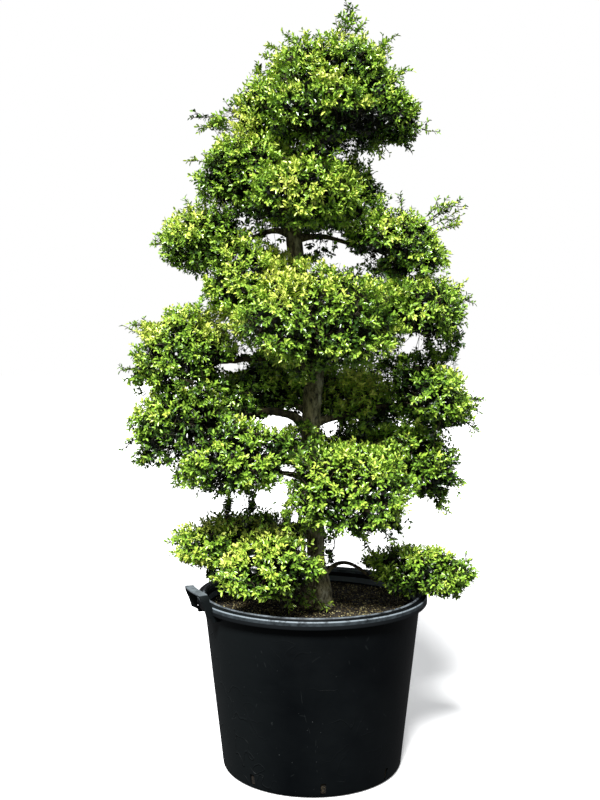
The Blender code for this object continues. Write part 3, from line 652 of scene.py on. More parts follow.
def limbPart(points, radii, sides):
    # a round tapering limb from a curve, as a mesh
    curve = bpy.data.curves.new("limb", "CURVE")
    curve.dimensions = "3D"
    curve.bevel_depth = 1.0
    curve.bevel_resolution = (sides - 4) // 2
    curve.use_fill_caps = True
    line = curve.splines.new("POLY")
    line.points.add(len(points) - 1)
    for spot, place, radius in zip(line.points, points, radii):
        spot.co = (*place, 1)
        spot.radius = radius
    holder = linked("limb", curve)
    graph = bpy.context.evaluated_depsgraph_get()
    mesh = bpy.data.meshes.new_from_object(holder.evaluated_get(graph))
    bpy.data.objects.remove(holder)
    return mesh


def addBark(mesh, line, radii, roots):
    # swells, knots and fine ridges pushed out of a limb, from its nearest middle point
    points = np.array(line)
    for vert in mesh.vertices:
        near = int(np.argmin(((points - np.array(vert.co)) ** 2).sum(1)))
        middle, radius = Vector(points[near]), radii[near]
        out = vert.co - middle
        if out.length < radius * 0.3:
            continue
        out.normalize()
        slow = noise.noise(Vector((vert.co.x * 22, vert.co.y * 22, vert.co.z * 9)))
        knots = max(0.0, noise.noise(vert.co * 31 + Vector((7, 3, 5))) - 0.42)
        ridges = noise.fractal(Vector((vert.co.x * 150, vert.co.y * 150, vert.co.z * 45)), 1.0, 2.0, 3)
        push = radius * (limbs["barkSwell"] * slow + limbs["barkKnots"] * knots) + limbs["barkGrain"] * ridges
        if roots:
            low = max(0.0, 1 - (vert.co.z - pot["soilLevel"]) / limbs["rootHeight"])
            angle = math.atan2(out.y, out.x)
            push += radius * limbs["rootFlare"] * low**1.5 * math.cos(5 * angle + 0.6 + 0.8 * slow)
        vert.co += out * push


def buildLimbs():
    bm = bmesh.new()
    rows = np.array(trunkPath)
    heights = np.linspace(rows[0, 0] - 0.006, rows[-1, 0] + 0.03, 330)
    smooth = [np.interp(heights, rows[:, 0], rows[:, i]) for i in (1, 2, 3)]
    smooth = [np.convolve(np.pad(v, 6, mode="edge"), np.ones(13) / 13, mode="valid") for v in smooth]
    line = np.stack([smooth[0], smooth[1], heights], axis=1)
    mesh = limbPart(line, smooth[2], 26)
    addBark(mesh, line, smooth[2], True)
    bm.from_mesh(mesh)
    noise.seed_set(limbs["wanderSeed"])  # noise_vector takes its offsets from this seed
    for name, (points, radii) in boughs.items():
        inner = spaces[list(masses).index(name)].centre
        entry = points[-1] + (inner - points[-1]) * np.linspace(0.15, 0.55, 4)[:, None]
        points = np.concatenate([points, entry])
        radii = np.concatenate([radii, radii[-1] * np.linspace(0.9, 0.45, 4)])
        length = np.concatenate([[0], np.cumsum(np.linalg.norm(np.diff(points, axis=0), axis=1))])
        count = max(12, int(length[-1] / 0.006))
        even = np.linspace(0, length[-1], count)
        points = np.stack([np.interp(even, length, points[:, i]) for i in range(3)], axis=1)
        radii = np.interp(even, length, radii)
        _, trunkRadius = trunkPoint(points[0][2])
        past = np.clip(even - trunkRadius, 0, None)
        radii = radii * (1 + limbs["collar"] * np.exp(-past / limbs["collarLength"]))
        wander = [noise.noise_vector(Vector(p) * 14) for p in points]
        fade = np.minimum(1, np.minimum(even, even[::-1]) / 0.05)[:, None]
        points = points + np.array(wander) * limbs["wander"] * fade
        mesh = limbPart(points, radii, 12)
        addBark(mesh, points, radii, False)
        bm.from_mesh(mesh)
    # painted light: the trunk's side facing +x gets a paler bark, and the boughs, below 0, a painted shade
    weathered = bm.verts.layers.float.new("weathered")
    bm.normal_update()
    for vert in bm.verts:
        middle, radius = trunkPoint(vert.co.z)
        away = math.hypot(vert.co.x - middle[0], vert.co.y - middle[1]) / radius - 1.3
        facing = max(0.0, vert.normal.x * 0.95 - vert.normal.y * 0.15 - 0.05)
        pale = min(1.0, facing * 1.2 * (0.55 + noise.noise(vert.co * 30)))
        vert[weathered] = pale if away < 0 else max(-1.0, -away * 0.8)
    nodes = ["trunk"] + [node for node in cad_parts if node.startswith("bough_")]
    pieceFrom(bm, "trunk_and_boughs", barkPaint, "bark", *nodes)


boughs = {space.name: boughLine(space) for space in spaces if space.plan["leaves"]}
for space in spaces:
    if space.plan.get("direct"):
        start, _ = trunkPoint(space.plan["leaves"])
        boughs[space.name] = (np.linspace(start, space.centre, limbs["points"]),
                              np.linspace(*limbs["direct"], limbs["points"]))
buildLimbs()
print("the trunk and boughs are built")


# Twigs, sprays and leaves
growth = dict(ribs=13, ribReach=0.58, sideTwigs=60, twigReach=(0.68, 0.80), sprayGap=0.0203,
              sprayLength=(0.034, 0.054), leavesPerSpray=11, leafLength=(0.0124, 0.0182), leafWidth=0.43,
              fold=0.24, innerShare=0.18, innerReach=(0.58, 0.80), looseShare=0.11, looseReach=(0.04, 0.12),
              margin=0.0005, knobArea=0.0080, crease=0.14, knobTop=(0.974, 0.046), seamShare=0.42,
              seamReach=(1.02, 1.34), boughSprays=190, boughReach=(0.022, 0.060), bare=10, coreSprays=105,
              coreReach=(0.30, 0.74), coreLeaves=8, coreSize=1.7, coreTint=(-0.4, 0.5), wildTint=(2.6, 0.8),
              wildLeaves=210, score=2.84, fillerTint=1.9, fillerReach=0.14, plane=-0.02, mostFaces=90000)
stems = dict(rib=(0.0036, 0.0018, 4), twig=(0.0018, 0.0010, 3), shoot=(0.0014, 0.0008, 3),
             spray=(0.0010, 0.0004, 3))  # thickest and thinnest radius, and sides
potRoom = dict(mouth=0.292, aboveSoil=0.456, aboveRim=0.494, outside=0.330, low=0.30, grip=0.343,
               gripReach=0.085, aboveGrip=0.528)  # leaves keep out of the pot's wall and handles
leafTints = {
    "leafShade": linear(8, 14, 5), "leafDeep": linear(48, 78, 21), "leafMid": linear(110, 149, 46),
    "leafGreen": linear(149, 187, 60), "leafLight": linear(180, 208, 76), "leafPale": linear(208, 221, 90),
    "leafNew": linear(223, 230, 110),
}
plainLeaves = ("leafShade", "leafDeep", "leafMid")
leafRoughness = (0.30, 0.30, 0.31, 0.33, 0.36, 0.42, 0.46)
# windows where the sky shows: place across and height on the plane of the trunk, half width, half
# height, and the share of the sprays that stay in each
skyWindows = (
    (-0.102, 1.493, 0.024, 0.015, 0.06), (-0.138, 1.508, 0.032, 0.018, 0.65),
    (0.044, 1.478, 0.04, 0.022, 0.5), (0.106, 1.42, 0.036, 0.016, 0.12), (0.148, 1.424, 0.018, 0.014, 0.2),
    (0.192, 1.432, 0.026, 0.01, 0.2), (0.098, 1.733, 0.026, 0.014, 0.3), (0.29, 1.198, 0.03, 0.02, 0.06),
    (0.248, 1.208, 0.024, 0.009, 0.1), (-0.215, 1.124, 0.045, 0.016, 0.1),
    (-0.188, 1.166, 0.014, 0.01, 0.1), (-0.1, 0.97, 0.034, 0.016, 0.05), (0.05, 0.953, 0.026, 0.028, 0.2),
    (-0.066, 0.828, 0.024, 0.024, 0.15), (-0.09, 0.764, 0.026, 0.028, 0.08),
    (-0.135, 0.748, 0.026, 0.022, 0.15), (-0.2, 0.738, 0.02, 0.026, 0.08), (-0.3, 0.738, 0.05, 0.012, 0.1),
    (-0.09, 0.69, 0.01, 0.014, 0.1), (-0.048, 0.697, 0.012, 0.018, 0.15), (-0.038, 0.609, 0.01, 0.012, 0.1),
    (0.004, 0.618, 0.026, 0.036, 0.15), (0.095, 0.614, 0.046, 0.034, 0.04),
    (0.402, 0.944, 0.04, 0.009, 0.2), (0.18, 1.668, 0.018, 0.034, 0.3)
)
# where the growth that faces the viewer is lighter, partly fresh and yellow and partly painted light where
# the sun does not reach, or darker as painted deep shade: place across and height on the same plane, half
# width, half height, and steps along the tints
toneSpots = (
    (-0.076, 1.364, 0.07, 0.09, 1.9), (-0.042, 1.599, 0.08, 0.055, 1.9), (-0.264, 1.229, 0.06, 0.052, 1.6),
    (-0.46, 1.246, 0.06, 0.045, 1.5), (0.218, 1.496, 0.036, 0.045, 1.5), (-0.338, 1.524, 0.06, 0.04, 1.2),
    (0.287, 1.244, 0.046, 0.04, 1.2), (-0.36, 0.57, 0.07, 0.05, 1.3), (-0.17, 0.575, 0.1, 0.05, 0.8),
    (-0.19, 0.668, 0.15, 0.032, 1.6), (0.045, 1.956, 0.06, 0.05, 1.3), (0.104, 2.073, 0.055, 0.055, 1.2),
    (0.23, 1.989, 0.055, 0.04, 1), (-0.185, 1.815, 0.06, 0.05, 1.2), (0.134, 1.801, 0.085, 0.038, -3.3),
    (-0.006, 1.87, 0.034, 0.022, -1.6), (0.155, 1.889, 0.04, 0.018, -2), (-0.14, 1.824, 0.04, 0.02, -1.2),
    (-0.18, 1.546, 0.1, 0.026, -1.6), (0.2, 1.452, 0.1, 0.024, -2), (-0.17, 1.236, 0.038, 0.055, -1.6),
    (0.275, 1.09, 0.07, 0.055, -1.3), (0.105, 1.05, 0.1, 0.07, 1.6), (-0.23, 1.04, 0.11, 0.05, -0.3),
    (0.22, 1.259, 0.045, 0.028, -1.6), (-0.32, 1.155, 0.065, 0.05, -1.1), (0.07, 1.7, 0.09, 0.03, -1.2),
    (-0.05, 0.9, 0.09, 0.03, -1.2), (-0.29, 0.95, 0.085, 0.034, -2.2), (-0.37, 0.912, 0.06, 0.034, -1.6),
    (-0.36, 0.85, 0.13, 0.11, -0.4), (0.34, 0.86, 0.1, 0.1, -0.5), (0.36, 0.56, 0.11, 0.05, -0.5),
    (-0.1, 1.15, 0.09, 0.06, 0.7)
)
# sprays on stems of their own, some before the sky: middle, spread, number and, for lighter ones, tint, which
# is partly fresh growth and partly painted light where the sun does not reach
fillers = (
    ((0.03, 0.04, 1.474), (0.034, 0.03, 0.022), 26), ((0.008, -0.05, 1.424), (0.026, 0.03, 0.01), 22),
    ((0.09, -0.05, 1.386), (0.04, 0.04, 0.006), 24), ((-0.09, 0.05, 1.512), (0.03, 0.04, 0.01), 12),
    ((0.05, 0, 0.604), (0.007, 0.012, 0.032), 34), ((-0.234, -0.02, 0.738), (0.006, 0.02, 0.026), 16),
    ((-0.167, -0.02, 0.734), (0.01, 0.02, 0.03), 22), ((-0.14, 0, 0.7), (0.05, 0.03, 0.008), 26),
    ((-0.28, -0.04, 0.542), (0.014, 0.02, 0.014), 14), ((0.192, -0.12, 0.692), (0.05, 0.05, 0.01), 46),
    ((-0.06, 0.02, 1.12), (0.08, 0.05, 0.04), 50, 2.4),
    ((0.13, -0.02, 1.085), (0.07, 0.04, 0.035), 60, 3.2),
    ((0.11, -0.01, 0.99), (0.06, 0.04, 0.03), 50, 2.8), ((-0.02, -0.06, 0.96), (0.02, 0.014, 0.02), 14, 3),
    ((-0.045, -0.11, 1.084), (0.04, 0.03, 0.012), 18, 3.4), ((0.26, 0, 1.15), (0.056, 0.04, 0.014), 60, 2),
    ((0.381, 0, 1.158), (0.026, 0.04, 0.014), 34), ((0.408, 0, 1.19), (0.012, 0.04, 0.028), 14),
    ((-0.425, 0, 1.058), (0.045, 0.04, 0.01), 36), ((-0.494, 0, 1.088), (0.014, 0.04, 0.024), 24),
    ((-0.25, 0.05, 1.07), (0.07, 0.05, 0.02), 20), ((0.02, 0.1, 0.9), (0.06, 0.05, 0.04), 24),
    ((-0.262, 0, 1.796), (0.026, 0.04, 0.018), 18, 2.8), ((0.202, 0, 1.998), (0.018, 0.04, 0.02), 10, 3.4),
    ((-0.155, 0, 1.952), (0.012, 0.04, 0.012), 6, 3.2), ((-0.214, 0, 1.858), (0.014, 0.04, 0.014), 8, 3),
    ((0.176, -0.04, 1.694), (0.026, 0.03, 0.018), 8),
    ((-0.37, -0.08, 0.822), (0.018, 0.04, 0.026), 18, 2.8),
    ((-0.474, -0.02, 0.862), (0.024, 0.04, 0.02), 18),
    ((0.164, -0.03, 0.582), (0.03, 0.03, 0.018), 22, 2.6),
    ((-0.07, -0.19, 0.752), (0.014, 0.02, 0.034), 24, 3),
    ((0.376, 0.01, 0.748), (0.014, 0.02, 0.022), 10, 2.4),
    ((-0.468, 0, 1.23), (0.03, 0.04, 0.018), 30, 3.6), ((0.18, 0, 0.945), (0.07, 0.04, 0.018), 60, 2.2),
    ((0.31, 0, 0.94), (0.05, 0.04, 0.018), 44, 2), ((0.388, -0.05, 0.487), (0.034, 0.03, 0.008), 16, 2.6),
    ((-0.105, 0, 1.464), (0.026, 0.03, 0.008), 14, 1.6),
    ((-0.024, -0.1, 0.88), (0.02, 0.02, 0.03), 20, 2.2),
    ((-0.014, -0.1, 0.81), (0.02, 0.02, 0.03), 20, 2.4),
    ((-0.01, -0.095, 0.74), (0.018, 0.016, 0.026), 14, 2.4),
    ((0.202, 0.02, 1.128), (0.026, 0.03, 0.014), 24, 1.8), ((0.331, 0, 1.17), (0.022, 0.03, 0.028), 20, 2.2)
)


def evenWays(count, chance, jitter):
    # directions spread evenly over a ball
    z = 1 - 2 * (np.arange(count) + 0.5) / count
    flat = np.sqrt(1 - z * z)
    turn = chance.uniform(0, math.tau) + goldenTurn * np.arange(count)
    ways = np.stack([flat * np.cos(turn), flat * np.sin(turn), z], axis=1)
    return unitRows(ways + chance.normal(0, jitter, ways.shape))


limbSpots = [(place, radius) for line, radii in boughs.values() for place, radius in zip(line, radii)]
for z in np.arange(0.45, 1.80, 0.008):
    limbSpots.append(trunkPoint(z))
limbTree = kdtree.KDTree(len(limbSpots))
for number, (place, _) in enumerate(limbSpots):
    limbTree.insert(place, number)
limbTree.balance()


def limbDistance(places):
    # from each place to the bark of the limb whose middle line is nearest
    found = (limbTree.find(place) for place in places)
    return np.array([distance - limbSpots[number][1] for _, number, distance in found])


def clearOfPot(places):
    radius = np.hypot(places[:, 0], places[:, 1])
    z = places[:, 2]
    clear = (radius < potRoom["mouth"]) & (z > potRoom["aboveSoil"]) | (z > potRoom["aboveRim"])
    clear |= (radius > potRoom["outside"]) & (z > potRoom["low"])
    for degrees in handles["turns"].values():
        angle = math.radians(degrees)
        middle = np.array((potRoom["grip"] * math.cos(angle), potRoom["grip"] * math.sin(angle)))
        near = np.linalg.norm(places[:, :2] - middle, axis=1) < potRoom["gripReach"]
        clear &= ~(near & (z < potRoom["aboveGrip"]))
    return clear


def asSeen(places):
    # each place moved along the camera's line of sight to the plane of the trunk
    eye = np.array(view["place"])
    scale = (growth["plane"] - eye[1]) / (places[:, 1] - eye[1])
    return eye[0] + (places[:, 0] - eye[0]) * scale, eye[2] + (places[:, 2] - eye[2]) * scale


def spotTone(places):
    x, z = asSeen(places)
    tone = np.zeros(len(places))
    for middle, height, halfWidth, halfHeight, steps in toneSpots:
        away = ((x - middle) / halfWidth) ** 2 + ((z - height) / halfHeight) ** 2
        tone += steps * np.clip(1.5 - away, 0, 1)
    return tone * (places[:, 1] < 0.10)


def clearOfSky(places, chance, more=0.0):
    # thins what stands in the windows of sky, as seen from the camera's side
    x, z = asSeen(places)
    clear = np.ones(len(places), bool)
    for middle, height, halfWidth, halfHeight, stay in skyWindows:
        inside = ((x - middle) / halfWidth) ** 2 + ((z - height) / halfHeight) ** 2 < 1
        clear &= ~(inside & (chance.random(len(places)) > stay + more))
    return clear


def sprayPlan(space, chance):
    # where each spray of a mass ends, which way it points, and how far out it is
    area = 4 * math.pi * (space.mean * 1.02) ** 2
    knobs = evenWays(max(12, int(area / growth["knobArea"])), chance, 0.16)
    knobTops = chance.normal(*growth["knobTop"], len(knobs))
    cell = math.sqrt(4 / len(knobs)) * 1.15
    count = int(area / growth["sprayGap"] ** 2)
    ways = evenWays(count, chance, 0.05)
    cosines = ways @ knobs.T
    nearest = cosines.argmax(1)
    angle = np.arccos(np.clip(cosines.max(1), -1, 1)) / cell
    crown = knobTops[nearest] - growth["crease"] * np.clip(angle, 0, 1.4) ** 1.7
    inner = chance.random(count) < growth["innerShare"]
    loose = (~inner) & (chance.random(count) < growth["looseShare"])
    shares = np.where(inner, chance.uniform(*growth["innerReach"], count),
                      crown + chance.normal(0, 0.014, count))
    shares = np.where(loose, crown + chance.uniform(*growth["looseReach"], count), shares)
    tips = space.point(ways, shares)
    fan = unitRows(tips - space.point(knobs, np.full(len(knobs), 0.70))[nearest])
    heading = fan + 0.25 * space.outward(ways) + np.array((0, 0, 0.22)) + chance.normal(0, 0.24, fan.shape)
    keep = (ways[:, 2] > -0.45) | (chance.random(count) < 0.66)
    keep &= ownMargin(space, tips) > np.where(loose, -0.012, growth["margin"])
    # painted shade: inner sprays and sprays in the creases between knobs take darker tints
    light = np.where(inner, -2.6, 0.8 - 1.5 * angle)
    return ways[keep], tips[keep], unitRows(heading)[keep], light[keep], loose[keep]


def seamPlan(space, chance):
    # sprays that fill the creases between neighbouring masses
    count = int(4 * math.pi * space.mean**2 / growth["sprayGap"] ** 2 * growth["seamShare"])
    ways = evenWays(count, chance, 0.3)
    shares = chance.uniform(*growth["seamReach"], count)
    tips = space.point(ways, shares)
    others = np.min([other.depth(tips) for other in spaces if other is not space], axis=0)
    keep = (others < 1.32) & (shares + others < 2.44) & (others > 0.98)
    reach = np.hypot(*(space.centre[:2] - (0.0, -0.02)))
    keep &= np.hypot(tips[:, 0], tips[:, 1] + 0.02) < reach + 0.06
    heading = unitRows(space.outward(ways) * 0.7 + chance.normal(0, 0.5, (count, 3)))
    # painted shade: sprays in the creases between masses take darker tints
    light = np.full(count, -0.5)
    return ways[keep], tips[keep], heading[keep], light[keep], np.zeros(int(keep.sum()), bool)


def boughPlan(space, chance):
    # short sprays along the outer half of a bough
    bare = space.plan.get("bare", growth["bare"])
    if space.name not in boughs or bare is None:
        return None
    line, _ = boughs[space.name]
    count = int(np.linalg.norm(line[-1] - line[0]) * growth["boughSprays"])
    along = chance.uniform(bare, limbs["points"] - 1, count).astype(int)
    way = unitRows(chance.normal(0, 1, (count, 3)) + np.array((0, -0.2, 0.7)))
    tips = line[along] + way * chance.uniform(*growth["boughReach"], (count, 1))
    clear = np.min([other.depth(tips) for other in spaces], axis=0) > 0.8
    left = int(clear.sum())
    # painted shade: sprays along a bough take darker tints
    return way[clear], tips[clear], way[clear], np.full(left, -1.2), np.zeros(left, bool)


def sideWays(ahead):
    # two directions square to each heading
    helper = np.where(np.abs(ahead[..., 2:3]) > 0.9, (1.0, 0.0, 0.0), (0.0, 0.0, 1.0))
    across = unitRows(np.cross(ahead, helper))
    return across, np.cross(ahead, across)


def tubes(paths, radii, sides):
    # thin tubes along many lines with the same number of points: corner places and quads
    across, other = sideWays(unitRows(np.gradient(paths, axis=1) + 1e-12))
    turn = np.arange(sides) * math.tau / sides
    ring = across[:, :, None] * np.cos(turn)[:, None] + other[:, :, None] * np.sin(turn)[:, None]
    corners = paths[:, :, None] + ring * radii[:, :, None, None]
    lines, stations = paths.shape[:2]
    index = np.arange(lines * stations * sides).reshape(lines, stations, sides)
    after = np.roll(index, -1, axis=2)
    quads = np.stack([index[:, :-1], after[:, :-1], after[:, 1:], index[:, 1:]], axis=-1)
    return corners.reshape(-1, 3), quads.reshape(-1, 4)


def quadPiece(name, corners, quads, paint, slot, *nodes):
    mesh = bpy.data.meshes.new(name)
    mesh.vertices.add(len(corners))
    mesh.vertices.foreach_set("co", corners.astype(np.float32).ravel())
    mesh.loops.add(quads.size)
    mesh.loops.foreach_set("vertex_index", quads.astype(np.int32).ravel())
    mesh.polygons.add(len(quads))
    mesh.polygons.foreach_set("loop_start", np.arange(0, quads.size, quads.shape[1], dtype=np.int32))
    mesh.update(calc_edges=True)
    return dressed(mesh, name, paint, slot, *nodes)


def nearestOf(places, targets):
    # the index of the nearest target to each place
    picks = np.empty(len(places), int)
    for first in range(0, len(places), 400):
        block = places[first:first + 400]
        picks[first:first + 400] = ((block[:, None] - targets[None]) ** 2).sum(-1).argmin(1)
    return picks


def curved(starts, middles, ends, stations):
    t = np.linspace(0, 1, stations)[None, :, None]
    return starts[:, None] * (1 - t) ** 2 + middles[:, None] * 2 * t * (1 - t) + ends[:, None] * t**2


def leavesOn(paths, chance, perSpray):
    # leaf roots, headings, faces and lengths, spiralling up each spray and closest together at its tip
    count = len(paths)
    even = (np.arange(perSpray) + 0.6) / perSpray
    along = 0.12 + 0.88 * even[None, :] ** 0.75 + chance.uniform(-0.03, 0.03, (count, perSpray))
    along = np.clip(along, 0.02, 1.0)
    spot = along * (paths.shape[1] - 1)
    low = np.minimum(spot.astype(int), paths.shape[1] - 2)
    part = (spot - low)[..., None]
    rows = np.arange(count)[:, None]
    roots = paths[rows, low] * (1 - part) + paths[rows, low + 1] * part
    ahead = unitRows(paths[rows, low + 1] - paths[rows, low])
    across, other = sideWays(ahead)
    turn = chance.uniform(0, math.tau, (count, 1)) + goldenTurn * np.arange(perSpray)
    turn = (turn + chance.normal(0, 0.25, turn.shape))[..., None]
    side = across * np.cos(turn) + other * np.sin(turn)
    spread = np.radians(82 - 44 * along + chance.normal(0, 11, along.shape))[..., None]
    heading = unitRows(ahead * np.cos(spread) + side * np.sin(spread))
    face = ahead * 0.75 + np.array((0, 0, 0.50)) + chance.normal(0, 0.30, heading.shape)
    face = unitRows(face - heading * (face * heading).sum(-1, keepdims=True))
    length = chance.uniform(*growth["leafLength"], along.shape) * (1.08 - 0.25 * along)
    return roots.reshape(-1, 3), heading.reshape(-1, 3), face.reshape(-1, 3), length.reshape(-1)


def leafMesh(roots, heading, face, length):
    # six corners and two folded quads a leaf
    side = np.cross(heading, face)
    wide = (length * growth["leafWidth"] / 2)[:, None]
    long = length[:, None]
    lift = wide * growth["fold"] * 2
    low = roots + heading * long * 0.38
    high = roots + heading * long * 0.76 - face * long * 0.02
    tip = roots + heading * long - face * long * 0.08
    corners = np.stack([roots, low - side * wide + face * lift,
                        high - side * wide * 0.80 + face * lift * 0.7, tip,
                        high + side * wide * 0.80 + face * lift * 0.7, low + side * wide + face * lift],
                       axis=1)
    first = np.arange(len(roots))[:, None] * 6
    quads = np.concatenate([first + (0, 3, 2, 1), first + (0, 5, 4, 3)])
    return corners.reshape(-1, 3), quads


def kiteMesh(roots, heading, face, length):
    # a plainer leaf for the shaded ones: four corners and two triangles, folded along the middle
    side = np.cross(heading, face)
    wide = (length * growth["leafWidth"] * 0.60)[:, None]
    long = length[:, None]
    middle = roots + heading * long * 0.52 + face * wide * growth["fold"]
    tip = roots + heading * long - face * long * 0.05
    corners = np.stack([roots, middle - side * wide, tip, middle + side * wide], axis=1)
    first = np.arange(len(roots))[:, None] * 4
    return corners.reshape(-1, 3), np.concatenate([first + (0, 2, 1), first + (0, 3, 2)])


def tintScore(space, tips, out, light, chance):
    # 0, the darkest, to 6: lighter where a spray faces up, a painted light, darker inside and in creases, a
    #                       painted shade, moved by the tone spots and by drifts of new growth
    drift = np.array([noise.noise(Vector(p) * 8.0) for p in tips])
    patch = np.array([noise.noise(Vector(p) * 24.0) for p in tips])
    # painted light: sprays that face up take lighter tints; the light values are painted shade
    score = growth["score"] + 0.7 * out[:, 2] + light + 1.1 * (space.plan["fresh"] - 0.40)
    score = score + 1.0 * drift + 0.9 * patch
    return score + spotTone(tips) + chance.normal(0, 0.55, len(tips))


stemParts, twigPlaces, leafParts = [], [], {tint: [] for tint in leafTints}
tintNames = list(leafTints)


def addStems(paths, kind):
    thick, thin, sides = stems[kind]
    count, stations = paths.shape[:2]
    stemParts.append(tubes(paths, np.linspace(thick, thin, stations)[None] * np.ones((count, 1)), sides))


def addLeaves(found, score, chance, sparse):
    # deals the leaves out by tint: the outer leaves of a spray are younger, so they take the next tint
    perSpray = len(found[0]) // len(score)
    young = np.tile(np.linspace(-1.3, 0.9, perSpray), len(score))
    tint = np.clip(np.rint(np.repeat(score, perSpray) + young), 0, len(tintNames) - 1).astype(int)
    spots = found[0] + found[1] * found[3][:, None] * 0.6
    keep = clearOfPot(spots) & (limbDistance(spots) > 0.002) & (chance.random(len(spots)) > sparse)
    keep &= clearOfSky(spots, chance, 0.08)
    for number, name in enumerate(tintNames):
        pick = keep & (tint == number)
        leafParts[name].append([part[pick] for part in found])


def growMass(space):
    chance = np.random.default_rng(sum(map(ord, space.name)))
    if space.name in boughs:
        entry = boughs[space.name][0][-1]
    else:
        entry = trunkPoint(trunkPath[-1][0])[0]
    # ribs from the bough's tip, then side twigs from the ribs
    ribWays = evenWays(growth["ribs"], chance, 0.12)
    ribEnds = space.point(ribWays, np.full(growth["ribs"], growth["ribReach"]))
    starts = np.broadcast_to(entry, ribEnds.shape)
    hub = entry + (space.centre - entry) * 0.6 + np.array((0, 0, -0.01))
    ribs = curved(starts, hub + chance.normal(0, 0.010, ribEnds.shape), ribEnds, 9)
    twigWays = evenWays(growth["sideTwigs"], chance, 0.10)
    twigEnds = space.point(twigWays, chance.uniform(*growth["twigReach"], len(twigWays)))
    twigEnds = twigEnds[(ownMargin(space, twigEnds) > 0.004) & clearOfPot(twigEnds)]
    ribSpots = ribs[:, 2:].reshape(-1, 3)
    twigStarts = ribSpots[nearestOf(twigEnds, ribSpots)]
    sway = chance.normal(0, 0.008, twigEnds.shape) + np.array((0, 0, 0.006))
    twigs = curved(twigStarts, (twigStarts + twigEnds) / 2 + sway, twigEnds, 6)
    addStems(ribs, "rib")
    addStems(twigs, "twig")
    twigSpots = np.concatenate([twigs[:, 1:].reshape(-1, 3), ribs[:, 4:].reshape(-1, 3)])
    twigPlaces.append(twigSpots)
    plans = [sprayPlan(space, chance), seamPlan(space, chance), boughPlan(space, chance)]
    for plan in filter(None, plans):
        ways, tips, heading, light, loose = plan
        onBough = plan is plans[2]
        length = chance.uniform(*growth["sprayLength"], len(tips)) * np.where(loose, 1.4, 1.0)
        starts = tips - heading * (length * (0.6 if onBough else 1.0))[:, None]
        hosts = boughs[space.name][0][8:] if onBough else twigSpots
        roots = hosts[nearestOf(starts, hosts)]
        good = clearOfPot(tips) & clearOfPot(starts) & clearOfSky(tips, chance)
        good &= (limbDistance(tips) > 0.006) & clearOfSky((roots + starts) / 2, chance)
        found = (ways, tips, light, loose, starts, roots)
        ways, tips, light, loose, starts, roots = (part[good] for part in found)
        if not len(tips):
            continue
        middles = (starts + tips) / 2 + chance.normal(0, 0.003, tips.shape) - np.array((0, 0, 0.003))
        sprays = curved(starts, middles, tips, 5)
        addStems(np.stack([roots, starts, tips], axis=1), "spray")
        score = tintScore(space, tips, space.outward(ways), light, chance)
        sparse = np.repeat(np.where(loose, 0.25, 0.0), growth["leavesPerSpray"])
        addLeaves(leavesOn(sprays, chance, growth["leavesPerSpray"]), score, chance, sparse)
    # larger leaves in the heart of the mass keep it dark: they block the sky, and their near-black tints are
    # painted shade
    ways = evenWays(growth["coreSprays"], chance, 0.25)
    tips = space.point(ways, chance.uniform(*growth["coreReach"], len(ways)))
    tips = tips[(ownMargin(space, tips) > 0.006) & clearOfPot(tips) & clearOfSky(tips, chance)]
    roots = twigSpots[nearestOf(tips, twigSpots)]
    roots = roots + (tips - roots) * 0.25
    found = leavesOn(curved(roots, (roots + tips) / 2, tips, 4), chance, growth["coreLeaves"])
    found = (*found[:3], found[3] * growth["coreSize"])
    addLeaves(found, chance.normal(*growth["coreTint"], len(tips)), chance, 0.0)


def growWild(space, tip):
    # a long unclipped shoot with short side shoots
    chance = np.random.default_rng(int(abs(tip[0]) * 1e4) + int(tip[2] * 1e4))
    tip = np.array(tip) - np.array((0, 0, 0.010)) * (tip[2] > space.centre[2])
    root = space.centre + (tip - space.centre) * 0.55
    run = np.linalg.norm(tip - root)
    ahead = (tip - root) / run
    starts, ends = [root], [tip]
    for _ in range(int(chance.integers(2, 5))):
        start = root + (tip - root) * chance.uniform(0.35, 0.85)
        lean = unitRows(chance.normal(0, 0.45, 3) + ahead)
        starts.append(start)
        ends.append(start + lean * chance.uniform(0.022, 0.042))
    starts, ends = np.array(starts), np.array(ends)
    shoots = curved(starts, (starts + ends) / 2 + chance.normal(0, 0.004, ends.shape), ends, 7)
    addStems(shoots, "shoot")
    score = chance.normal(*growth["wildTint"], 1) + (space.plan["fresh"] - 0.4)
    for number, shoot in enumerate(shoots):
        found = leavesOn(shoot[None], chance, 7 if number else int(run * growth["wildLeaves"]) + 3)
        addLeaves((*found[:3], found[3] * 0.95), score, chance, 0.15)


def growFillers():
    chance = np.random.default_rng(5)
    hosts = np.concatenate([*twigPlaces, [place for place, _ in limbSpots]])
    for middle, spread, count, *score in fillers:
        tips = np.array(middle) + chance.normal(0, 0.55, (count, 3)) * spread
        tips = tips[clearOfSky(tips, chance) & (limbDistance(tips) > 0.012)]
        roots = hosts[nearestOf(tips, hosts)]
        near = np.linalg.norm(tips - roots, axis=1) < growth["fillerReach"]
        for share in (0.3, 0.5, 0.75):
            near &= clearOfSky(roots + (tips - roots) * share, chance)
        tips, roots = tips[near], roots[near]
        heading = unitRows(tips - roots + chance.normal(0, 0.014, tips.shape) + np.array((0, 0, 0.008)))
        starts = tips - heading * 0.030
        middles = (roots + starts) / 2 + chance.normal(0, 0.010, tips.shape)
        addStems(np.concatenate([curved(roots, middles, starts, 4), tips[:, None]], axis=1), "spray")
        sprays = curved(starts, (starts + tips) / 2 + chance.normal(0, 0.002, tips.shape), tips, 5)
        # the lighter filler tints are partly painted light
        tint = score[0] if score else growth["fillerTint"]
        tone = chance.normal(tint, 0.8, len(tips)) + spotTone(tips) * 0.6
        addLeaves(leavesOn(sprays, chance, growth["leavesPerSpray"]), tone, chance, 0.1)


